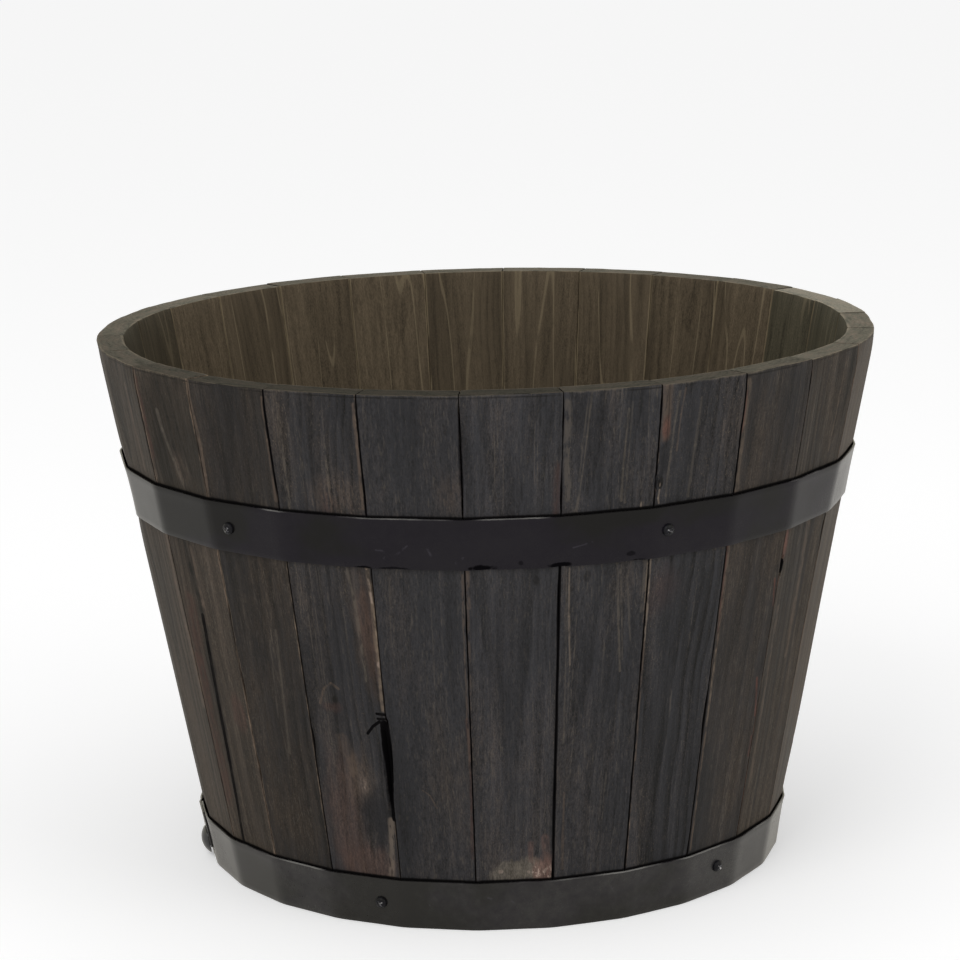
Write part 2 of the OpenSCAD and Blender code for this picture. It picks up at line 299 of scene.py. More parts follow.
def stainedWood(name, marks=(), upright=True):
    material, g, shader = newMaterial(name, {"Specular IOR Level": 0.14, "Specular Tint": (1.0, 0.96, 0.88, 1.0)})
    board, edge, cut, tone, seam, ends = (g.attribute(n) for n in woodLayers)
    x, depth, height = board.split()
    pithX, pithY, seed = cut.split()
    light, warmth, figure = tone.split()
    edgeAway, edgeWear, inside = edge.split()
    seamDark, seamRed, seamWide = seam.split()
    endLight, innerLight, innerWarm = ends.split()
    straight = g.vector(x + seed * 0.37, depth + seed * 0.21, height + seed * 1.3)
    wander = (g.cloud(g.stretch(straight, (9, 9, 3.4)), 2.0) - 0.5) * 0.016 * (figure * 0.5 + 0.5)
    place = g.vector(x + wander + seed * 0.37, depth + seed * 0.21, height + seed * 1.3)

    def grain(across, along, detail=2.0, roughness=0.55):
        return g.cloud(g.stretch(place, (across, across, along)), detail, roughness)

    def over(colour, toneName, mask):
        return g.mix(colour, woodTones[toneName], mask)

    fine = grain(1150, 520, 2.0, 0.6)
    sparkle = grain(880, 560, 1.0)
    flecks = grain(560, 105, 3.0, 0.65)
    streaks = grain(150, 7, 4.0, 0.62)
    threads = grain(620, 6, 2.0, 0.5)
    bands = grain(38, 4, 3.0)
    broad = grain(17, 8, 3.0)
    # growth rings round the log's heart, which the board was sawn from
    ringX = x + wander * 1.6 - pithX + (broad - 0.5) * 0.014
    ringY = depth - pithY + (height * height) * 0.05
    around = ringX * ringX + ringY * ringY
    rings = (around ** 0.5 + (streaks - 0.5) * 0.0016) * 230
    ringPlace = rings.math("FRACT", rings)
    late = g.ease(ringPlace, 0.35, 0.9) * (1 - g.ease(ringPlace, 0.92, 1.0))

    dashes = grain(720, 120, 1.0)
    busy = g.ease(broad * 0.5 + bands * 0.5, 0.42, 0.58) * 0.65 + 0.45
    crisp = ((g.ease(flecks, 0.34, 0.66) - 0.5) * 0.40 + (g.ease(fine, 0.36, 0.64) - 0.5) * 0.44) * busy
    texture = crisp + (g.ease(streaks, 0.34, 0.66) - 0.5) * (figure * 0.16 + 0.26)
    strength = (texture + (bands - 0.5) * 1.1 + (broad - 0.5) * 1.0 + 1.06 - late * figure * 0.26) * light
    hue = (broad - 0.5) * 1.2 + (bands - 0.5) * 1.0 + (flecks - 0.5) * 0.7 + warmth
    outerColour = g.mix(woodTones["cool"], woodTones["warm"], g.ease(hue, 0.0, 1.0))
    outerColour = g.scaled(outerColour, strength)
    paleLine = g.ease(streaks, 0.58, 0.76) * g.ease(flecks, 0.42, 0.64) * (figure * 0.3 + 0.3)
    outerColour = over(outerColour, "streak", paleLine)
    thread = g.ease(threads, 0.60, 0.70) * g.ease(bands, 0.46, 0.60) * g.ease(flecks, 0.36, 0.56)
    outerColour = over(outerColour, "streak", thread * (figure * 0.22 + 0.20))
    outerColour = over(outerColour, "streak", g.ease(dashes, 0.60, 0.72) * busy * 0.28)
    outerColour = over(outerColour, "grimeAndShade", (1 - g.ease(dashes, 0.27, 0.38)) * 0.36)
    outerColour = over(outerColour, "worn", g.ease(sparkle, 0.62, 0.72) * busy * (figure * 0.16 + 0.06))

    ragged = (grain(95, 26, 3.0, 0.6) - 0.5) * 1.6 + (flecks - 0.5) * 0.7
    breaks = g.ease(flecks * 0.55 + grain(260, 110, 2.0) * 0.45, 0.40, 0.54)
    coarse = g.ease(grain(330, 210, 2.0, 0.6), 0.53, 0.62)
    # where painted shade is laid: cracks, holes, joints and the lines above the hoops, for the matte shadow shader
    shadowMask = x * 0
    for mark in marks:
        kind, colour, amount = mark["kind"], woodTones[mark["colour"]], mark["amount"]
        if kind == "streak":
            for start, end in zip(mark["path"], mark["path"][1:]):
                mask = lineMask(g, x, height, start, end, mark["width"], ragged * mark["wave"], mark["core"])
                mask = mask * (breaks * mark["broken"] + (1 - mark["broken"]))
                outerColour = g.mix(outerColour, colour, mask * amount)
                # black and wedge cracks are painted shade inside the split
                if mark["colour"] in ("black", "wedge") and mark["core"] > 0.5:
                    shadowMask = shadowMask.orMore(mask * amount)
        else:
            mask = blotMask(g, x, height, mark["at"], mark["size"], ragged * 1.4, mark["soft"])
            mask = mask * (coarse * mark["specks"] + (1 - mark["specks"]))
            mask = mask * (breaks * mark["broken"] + (1 - mark["broken"]))
            shade = g.scaled(colour, texture * 0.9 + (bands - 0.5) * 1.4 + 1)
            outerColour = g.mix(outerColour, shade, mask * amount)
            # the darkest black holes are painted shade inside the hole
            if mark["colour"] == "black" and amount > 0.9:
                shadowMask = shadowMask.orMore(mask * amount)

    # worn beside the long edges, where the stain has rubbed off, and painted shade in the joint itself
    patches = grain(30, 13, 3.0, 0.6)
    reach = edgeWear * 0.0030 * (patches * 3.2 + (flecks - 0.5) * 1.6 - 1.0) + 0.0002
    wear = (1 - g.ease(edgeAway, reach * 0.45, reach + 0.0002)) * g.ease(edgeWear, 0.02, 0.5)
    bareWood = g.scaled(g.mix(woodTones["worn"], woodTones["red"], seamRed), (flecks - 0.5) * 2.6 + 0.92)
    outerColour = g.mix(outerColour, bareWood, wear * g.ease(patches, 0.38, 0.60) * (breaks * 0.4 + 0.6) * 0.8)
    gap = seamWide * 0.0012 * (patches * 1.6 + 0.2) + 0.0007
    # painted shade in the gap between staves, which also joins the shadow mask
    jointShade = 1 - g.ease(edgeAway + (flecks - 0.5) * 0.0007, gap * 0.4, gap)
    jointShade = jointShade * seamDark * g.ease(patches, 0.30, 0.42)
    outerColour = over(outerColour, "grimeAndShade", jointShade)
    shadowMask = shadowMask.orMore(jointShade)
    topWear = g.ease(height + (flecks - 0.5) * 0.003, 0.4172, 0.4188) * g.ease(broad, 0.40, 0.56)
    if upright:
        outerColour = over(outerColour, "endEdge", topWear * endLight * 0.45)
        # painted shade in a thin line just under the rim's rounded lip
        shadeUnderLip = g.ease(height + (flecks - 0.5) * 0.001, 0.4158, 0.4166) * (1 - g.ease(height, 0.4170, 0.4176))
        outerColour = over(outerColour, "grimeAndShade", shadeUnderLip * g.ease(patches, 0.44, 0.56) * 0.6)
        # a dark line on the wood just above each hoop's top edge: painted shade, partly grime, which also joins the
        # shadow mask
        for _, top in hoopBands:
            band = 1 - g.ease(height + ragged * 0.0006, top + 0.0009, top + 0.0026)
            band = band * g.ease(height, top - 0.004, top)
            outerColour = over(outerColour, "grimeAndShade", band * 0.92)
            shadowMask = shadowMask.orMore(band * 0.8)

    # the inside: painted shade where its brightness is low, and the greenish tone, a painted reflection of green
    # light, where its brownness is low
    innerColour = g.mix(woodTones["shade"], woodTones["inner"], innerWarm)
    innerColour = g.scaled(innerColour, (texture * 0.8 + (bands - 0.5) * 1.2 - late * 0.16 + 1.02) * innerLight)
    innerLine = 1 - g.ease(edgeAway + (patches - 0.5) * 0.004, 0.0003, 0.0016)
    # wavy pale veins, drawn where a soft cloud crosses one half
    vein = grain(30, 2.6, 1.0) - 0.5
    veins = (1 - g.ease(vein.math("ABSOLUTE", vein), 0.004, 0.012)) * g.ease(patches, 0.40, 0.50)
    pale = innerLine * g.ease(patches, 0.34, 0.52) * 0.75 + veins * 0.34
    innerColour = g.mix(innerColour, g.scaled(woodTones["glue"], innerLight), pale)
    colour = g.mix(outerColour, innerColour, inside)

    up = g.add("NewGeometry", {}, {}, "Normal").split()[2]
    sawn = g.ease(up.math("ABSOLUTE", up), 0.70, 0.95) * float(upright)
    across = g.vector(x + seed * 0.37, depth + seed * 0.21, seed)
    dots = g.cloud(g.stretch(across, (520, 520, 1)), 3.0, 0.65)
    smears = g.cloud(g.stretch(across, (48, 190, 1)), 3.0, 0.6)
    endColour = g.mix(woodTones["endGrain"], woodTones["endBrown"], g.ease(smears + (dots - 0.5) * 0.3, 0.44, 0.60))
    # the rim's brightness per stave carries painted light and shade
    endColour = g.scaled(endColour, ((dots - 0.5) * 1.8 + (smears - 0.5) * 3.0 - late * 0.25 + 1.12) * endLight)
    lip = 1 - g.ease(depth + (smears - 0.5) * 0.010 + (dots - 0.5) * 0.002, 0.0008, 0.0024)
    lip = lip + g.ease(depth + (dots - 0.5) * 0.003, 0.0190, 0.0208) * 0.8
    endEdge = g.scaled(woodTones["endEdge"], endLight * 0.8 + 0.2)
    endColour = g.mix(endColour, endEdge, lip * g.ease(smears, 0.38, 0.56) * 0.7)
    # painted shade in the joints between the staves on the rim's top
    endJointShade = 1 - g.ease(edgeAway + (dots - 0.5) * 0.0006, 0.0002, 0.0009)
    endColour = over(endColour, "grimeAndShade", endJointShade * g.ease(seamDark, 0.0, 1.2))
    colour = g.mix(colour, endColour, sawn)

    rough = (flecks - 0.5) * 0.3 + (broad - 0.5) * 0.2 + 0.64 + (1 - endLight) * sawn * 0.5
    relief = flecks * 0.5 + streaks * 0.35 + fine * 0.3 - late * 0.15
    bump = g.add("Bump", {}, {"Strength": 0.5, "Distance": 0.0009, "Height": relief})
    feed(g, shader, Base_Color=colour, Roughness=rough, Normal=bump)
    shadowed(g, shader, shadowMask * (1 - inside) * (1 - sawn), woodTones["hollow"])
    return material


# meshes
def smoothByAngle(bm, degrees):
    for face in bm.faces:
        face.smooth = True
    for e in bm.edges:
        e.smooth = len(e.link_faces) == 2 and e.calc_face_angle(0) < math.radians(degrees)


def meshOf(bm, name):
    mesh = bpy.data.meshes.new(name)
    bm.to_mesh(mesh)
    bm.free()
    return mesh


def linked(name, data):
    thing = bpy.data.objects.new(name, data)
    scene.collection.objects.link(thing)
    return thing


def addPiece(bm, name, material, nodes, smoothAngle=34):
    smoothByAngle(bm, smoothAngle)
    piece = linked(name, meshOf(bm, name))
    piece.data.materials.append(material)
    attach(piece, "root")
    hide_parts(*nodes)
    return piece


def onlyVerts(geom):
    return [v for v in geom if isinstance(v, bmesh.types.BMVert)]


def sliceAt(bm, point, normal, drop=False):
    return bmesh.ops.bisect_plane(bm, geom=bm.verts[:] + bm.edges[:] + bm.faces[:], dist=1e-6, plane_co=point,
                                  plane_no=normal, clear_outer=drop)["geom_cut"]


def facesOut(bm):
    bmesh.ops.recalc_face_normals(bm, faces=bm.faces[:])


def rounded(bm, geom, offset, segments=2, affect="EDGES"):
    bmesh.ops.bevel(bm, geom=geom, offset=offset, affect=affect, segments=segments, profile=0.5, material=-1)


# staves
staveMake = {
    "blankHalf": 0.06,       # half the width of the block that it is cut from
    "arris": 0.0009,         # rounding of every outer edge
    "rows": 100,             # slices along a stave
    "columns": 13,           # slices across it, apart from three beside each edge
    "layers": 4,             # slices through its thickness
    "seat": 0.0006,          # how far a hoop has pressed into the wood
    "sway": 0.00030,         # unevenness of the faces
    "chip": 0.0016,          # deepest of the small chips along the edges
    "step": 0.0003,          # most that a stave stands back from its neighbours
    "shortest": 0.0007,      # most that a stave ends below the rim
    "rimRound": 0.0006,      # the rim is sanded round, to within this of a circle
}


def staveBlank():
    bm = bmesh.new()
    high, low, top = tub["grooveHigh"], tub["grooveLow"], tub["height"]
    section = [(outerFace(0), 0), (outerFace(top), top), (outerFace(top) - wallDepth, top),
               (outerFace(high) - wallDepth, high), (tub["grooveReach"], high),
               (tub["grooveReach"], low), (outerFace(low) - wallDepth, low), (outerFace(0) - wallDepth, 0)]
    face = bm.faces.new([bm.verts.new((-staveMake["blankHalf"], -away, z)) for away, z in section])
    far = bmesh.ops.extrude_face_region(bm, geom=[face])["geom"]
    bmesh.ops.translate(bm, vec=(2 * staveMake["blankHalf"], 0, 0), verts=onlyVerts(far))
    for side in (-1, 1):
        normal = Vector((side * math.cos(halfPitch), math.sin(halfPitch), 0))
        cut = sliceAt(bm, -normal * tub["jointGap"] / 2, normal, drop=True)
        bmesh.ops.edgeloop_fill(bm, edges=[e for e in cut if isinstance(e, bmesh.types.BMEdge)])
    facesOut(bm)

    def inGroove(v):
        return low - 1e-5 <= v.co.z <= high + 1e-5
    edges = [e for e in bm.edges if not (inGroove(e.verts[0]) and inGroove(e.verts[1]))]
    rounded(bm, edges, staveMake["arris"])
    for k in range(1, staveMake["rows"]):
        sliceAt(bm, (0, 0, top * k / staveMake["rows"]), (0, 0, 1))
    shares = [-0.95, -0.90, -0.84, 0.84, 0.90, 0.95]
    shares += [0.82 * (2 * k / (staveMake["columns"] - 1) - 1) for k in range(staveMake["columns"])]
    for share in shares:
        foot, rise = share * faceWidth(0) / 2, share * (faceWidth(top) - faceWidth(0)) / 2
        sliceAt(bm, (foot, 0, 0), (top, 0, -rise))
    for k in range(1, staveMake["layers"] + 1):
        deep = tub["staveThick"] * k / (staveMake["layers"] + 1)
        sliceAt(bm, Vector((0, -outerFace(0), 0)) - outward * deep, outward)

    board, edge = [bm.verts.layers.float_vector.new(name) for name in woodLayers][:2]
    for v in bm.verts:
        deep = (outerFace(v.co.z) + v.co.y) * math.cos(slope)
        v[board] = (v.co.x, deep, v.co.z)
        v[edge] = (max(0.0, -v.co.y * math.tan(halfPitch) - abs(v.co.x)), 0.0,
                   1.0 if deep > tub["staveThick"] - 0.0012 else 0.0)
    return meshOf(bm, "staveBlank")


# brightness, warmth and figure of the staves that differ from the rest, numbered from the front to the right; the
# brightness is the stain's tone, and on the side staves, such as 6 and 22, partly painted light where they take the
# light at a glancing angle
staveToneAndLight = {
    1: (1.38, 0.22, 0.9), 2: (1.15, 0.16, 0.9), 3: (1.15, 0.16, 1.5), 4: (0.99, 0.50, 0.8), 5: (0.96, 0.84, 1.6),
    6: (1.53, 0.88, 0.9), 21: (0.93, 1.1, 1.4), 22: (1.06, 1.05, 1.7), 23: (1.12, 1.0, 1.5),
    24: (0.84, 0.62, 0.9), 25: (1.18, 0.32, 1.3), 26: (1.06, 0.14, 0.2),
}
# brightness of the rim, brightness of the inside, brownness of the inside: the rim is painted darker at the front and
# lighter at the back (8, 9), and the inside darker at the left and right, as painted shade and light; a low brownness
# is a green cast of painted reflected light
rimAndInsideShading = {
    21: (0.80, 0.75, 1.0), 22: (0.72, 0.9, 1.0), 23: (0.52, 1.0, 1.0), 24: (0.42, 1.0, 1.0), 25: (0.36, 1.0, 1.0),
    26: (0.34, 1.0, 1.0), 1: (0.34, 1.0, 1.0), 2: (0.50, 1.0, 1.0), 3: (0.60, 1.0, 1.0), 4: (0.80, 1.0, 1.0),
    5: (1.0, 0.9, 0.6), 6: (1.05, 0.65, 0.3), 7: (1.1, 0.58, 0.3), 8: (1.45, 0.74, 0.3), 9: (1.5, 0.85, 0.4),
    18: (1.1, 1.05, 1.0), 19: (1.0, 0.6, 0.8), 20: (0.9, 0.42, 0.7),
}
# joints counted from the front: painted shade in the joint above the upper hoop, painted shade below it, wear on the
# left, wear on the right, red, then how wide the painted shade is above and below the hoop
jointLooks = {
    -5: (0.5, 0.5, 0.4, 0.5, 0.1, 0, 0), -4: (0.5, 0.6, 0.5, 0.7, 0.2, 0.3, 0),
    -3: (0.25, 0.15, 0.7, 0.4, 0.1, 0, 0), -2: (1.0, 0.7, 0.42, 0.15, 0.0, 0.5, 0.2),
    -1: (0.9, 0.6, 0.5, 0.1, 0.0, 0.3, 0), 0: (1.0, 0.9, 0.22, 0.2, 0.1, 0, 0.1),
    1: (1.0, 1.0, 0.05, 0.1, 0.0, 0.1, 0.7), 2: (1.0, 0.9, 0.3, 0.5, 0.1, 0.4, 0.4),
    3: (1.0, 0.8, 0.1, 0.3, 0.3, 0.5, 0.3),
    4: (0.8, 0.5, 0.2, 0.3, 0.9, 0, 0), 5: (0.1, 0.3, 0.1, 0.3, 0.3, 0, 0),
}
# splits and missing slivers: side, lowest and highest point, width, depth
staveChips = {
    1: [(-1, 0.328, 0.412, 0.0009, 0.0060)],
    26: [(1, 0.328, 0.412, 0.0008, 0.0060), (-1, 0.108, 0.174, 0.0014, 0.0070)],
    25: [(1, 0.088, 0.172, 0.0046, 0.0075), (1, 0.262, 0.290, 0.0008, 0.0020)],
    5: [(-1, 0.252, 0.267, 0.0020, 0.0070)],
    3: [(-1, 0.340, 0.352, 0.0018, 0.0040)],
}


def chance(number, count):
    # the same spread of numbers each run, for what the tables leave out
    return [0.5 + 0.5 * wobble(number * 3.71, k * 9.13, 0.4) for k in range(count)]


def jointLook(k):
    k = (k + 13) % tub["staves"] - 13
    a, b, c, d = chance(k + 60, 4)
    return jointLooks.get(k, (0.3 + 0.7 * a, 0.3 + 0.7 * b, c, d, max(0.0, a * 1.5 - 0.6), c * 0.6, d * 0.6))


def weatherStave(bm, number):
    board, edge, cut, toneLayer, seam, ends = (bm.verts.layers.float_vector[n] for n in woodLayers)
    a, b, c = chance(number, 3)
    tone = staveToneAndLight.get(number, (0.88 + 0.28 * a, 0.25 + 0.6 * b, 0.4 + 1.1 * c))
    looks = (jointLook(number - 1), jointLook(number))
    seed = number * 1.618
    pith = (0.05 * wobble(seed, 2.2, 7.7), 0.045 + 0.05 * abs(wobble(seed, 5.1, 1.3)), seed)
    back = staveMake["step"] * abs(wobble(seed, 0.3, 9.9)) * 1.6
    lean = staveMake["step"] * wobble(seed, 8.8, 4.1)
    short = staveMake["shortest"] * abs(wobble(seed, 3.3, 6.1)) * 1.7
    rimTop = tub["height"]
    rimCircle = outerFace(rimTop) + staveMake["rimRound"]
    innerCircle = (outerFace(rimTop) - wallDepth) / math.cos(halfPitch) - staveMake["rimRound"]
    for v in bm.verts:
        x, deep, height = v[board]
        away, _, inside = v[edge]
        side = 1 if x > 0 else -1
        look = looks[0] if side < 0 else looks[1]
        v[cut] = pith
        v[toneLayer] = tone
        v[edge] = (away, look[3] if side < 0 else look[2], inside)
        dark, wide = (look[0], look[5]) if height > hoopMiddle else (look[1], look[6])
        v[seam] = (dark, look[4], wide)
        v[ends] = rimAndInsideShading.get(number, (0.85 + 0.3 * c, 0.85 + 0.3 * a, 1.0))
        atFace = clamp(1 - deep / 0.005)
        atBack = clamp((deep - 0.0175) / 0.0045)
        sway = 0.5 + 0.5 * wobble(x * 22 + seed, deep * 10, height * 6)
        ripple = 0.5 + 0.5 * wobble(x * 120, seed, height * 14)
        inward = staveMake["sway"] * (0.75 * sway + 0.25 * ripple) + back + lean * clamp(x / 0.03, -1, 1)
        for low, high in hoopBands:
            under = clamp((height - low + 0.001) / 0.002) * clamp((high - height + 0.001) / 0.002)
            inward += staveMake["seat"] * under
        # small chips along the outer edges
        edgeNear = clamp(1 - away / 0.0026)
        nick = clamp(wobble(seed + side * 3.7, height * 31, 2.0) * 1.6 - 0.35)
        inward += staveMake["chip"] * nick * edgeNear
        sidewise = staveMake["chip"] * 0.5 * nick * edgeNear * atFace
        for chipSide, low, high, width, depth in staveChips.get(number, ()):
            if chipSide == side and low < height < high:
                swell = math.sin(math.pi * (height - low) / (high - low)) ** 0.6
                near = clamp((width * (0.4 + 0.6 * swell) - away) / 0.0008 + 0.5)
                inward += depth * swell * near * (0.9 + 0.2 * ripple)
                sidewise += 0.0005 * swell * near * clamp(1 - deep / 0.012)
        # the rim's outline, nearer a circle than the staves below it
        nearRim = clamp((height - 0.398) / 0.020) ** 2
        fromCentre = math.hypot(x, outerFace(height))
        inward += nearRim * max(0.0, fromCentre - (rimCircle - outerFace(rimTop) + outerFace(height)))
        v.co.y += max(0.0, inward) * atFace
        v.co.x -= side * sidewise
        hollow = staveMake["sway"] * 0.8 * (0.5 + 0.5 * wobble(x * 20, seed + 40, height * 7))
        hollow += nearRim * max(0.0, innerCircle - math.hypot(x, outerFace(rimTop) - wallDepth))
        v.co.y -= hollow * atBack
        nearTop = clamp((v.co.z - rimTop + 0.006) / 0.006)
        v.co.z -= nearTop * (short + 0.0003 * (0.5 + 0.5 * wobble(x * 90 + seed, deep * 90, 1.0)))


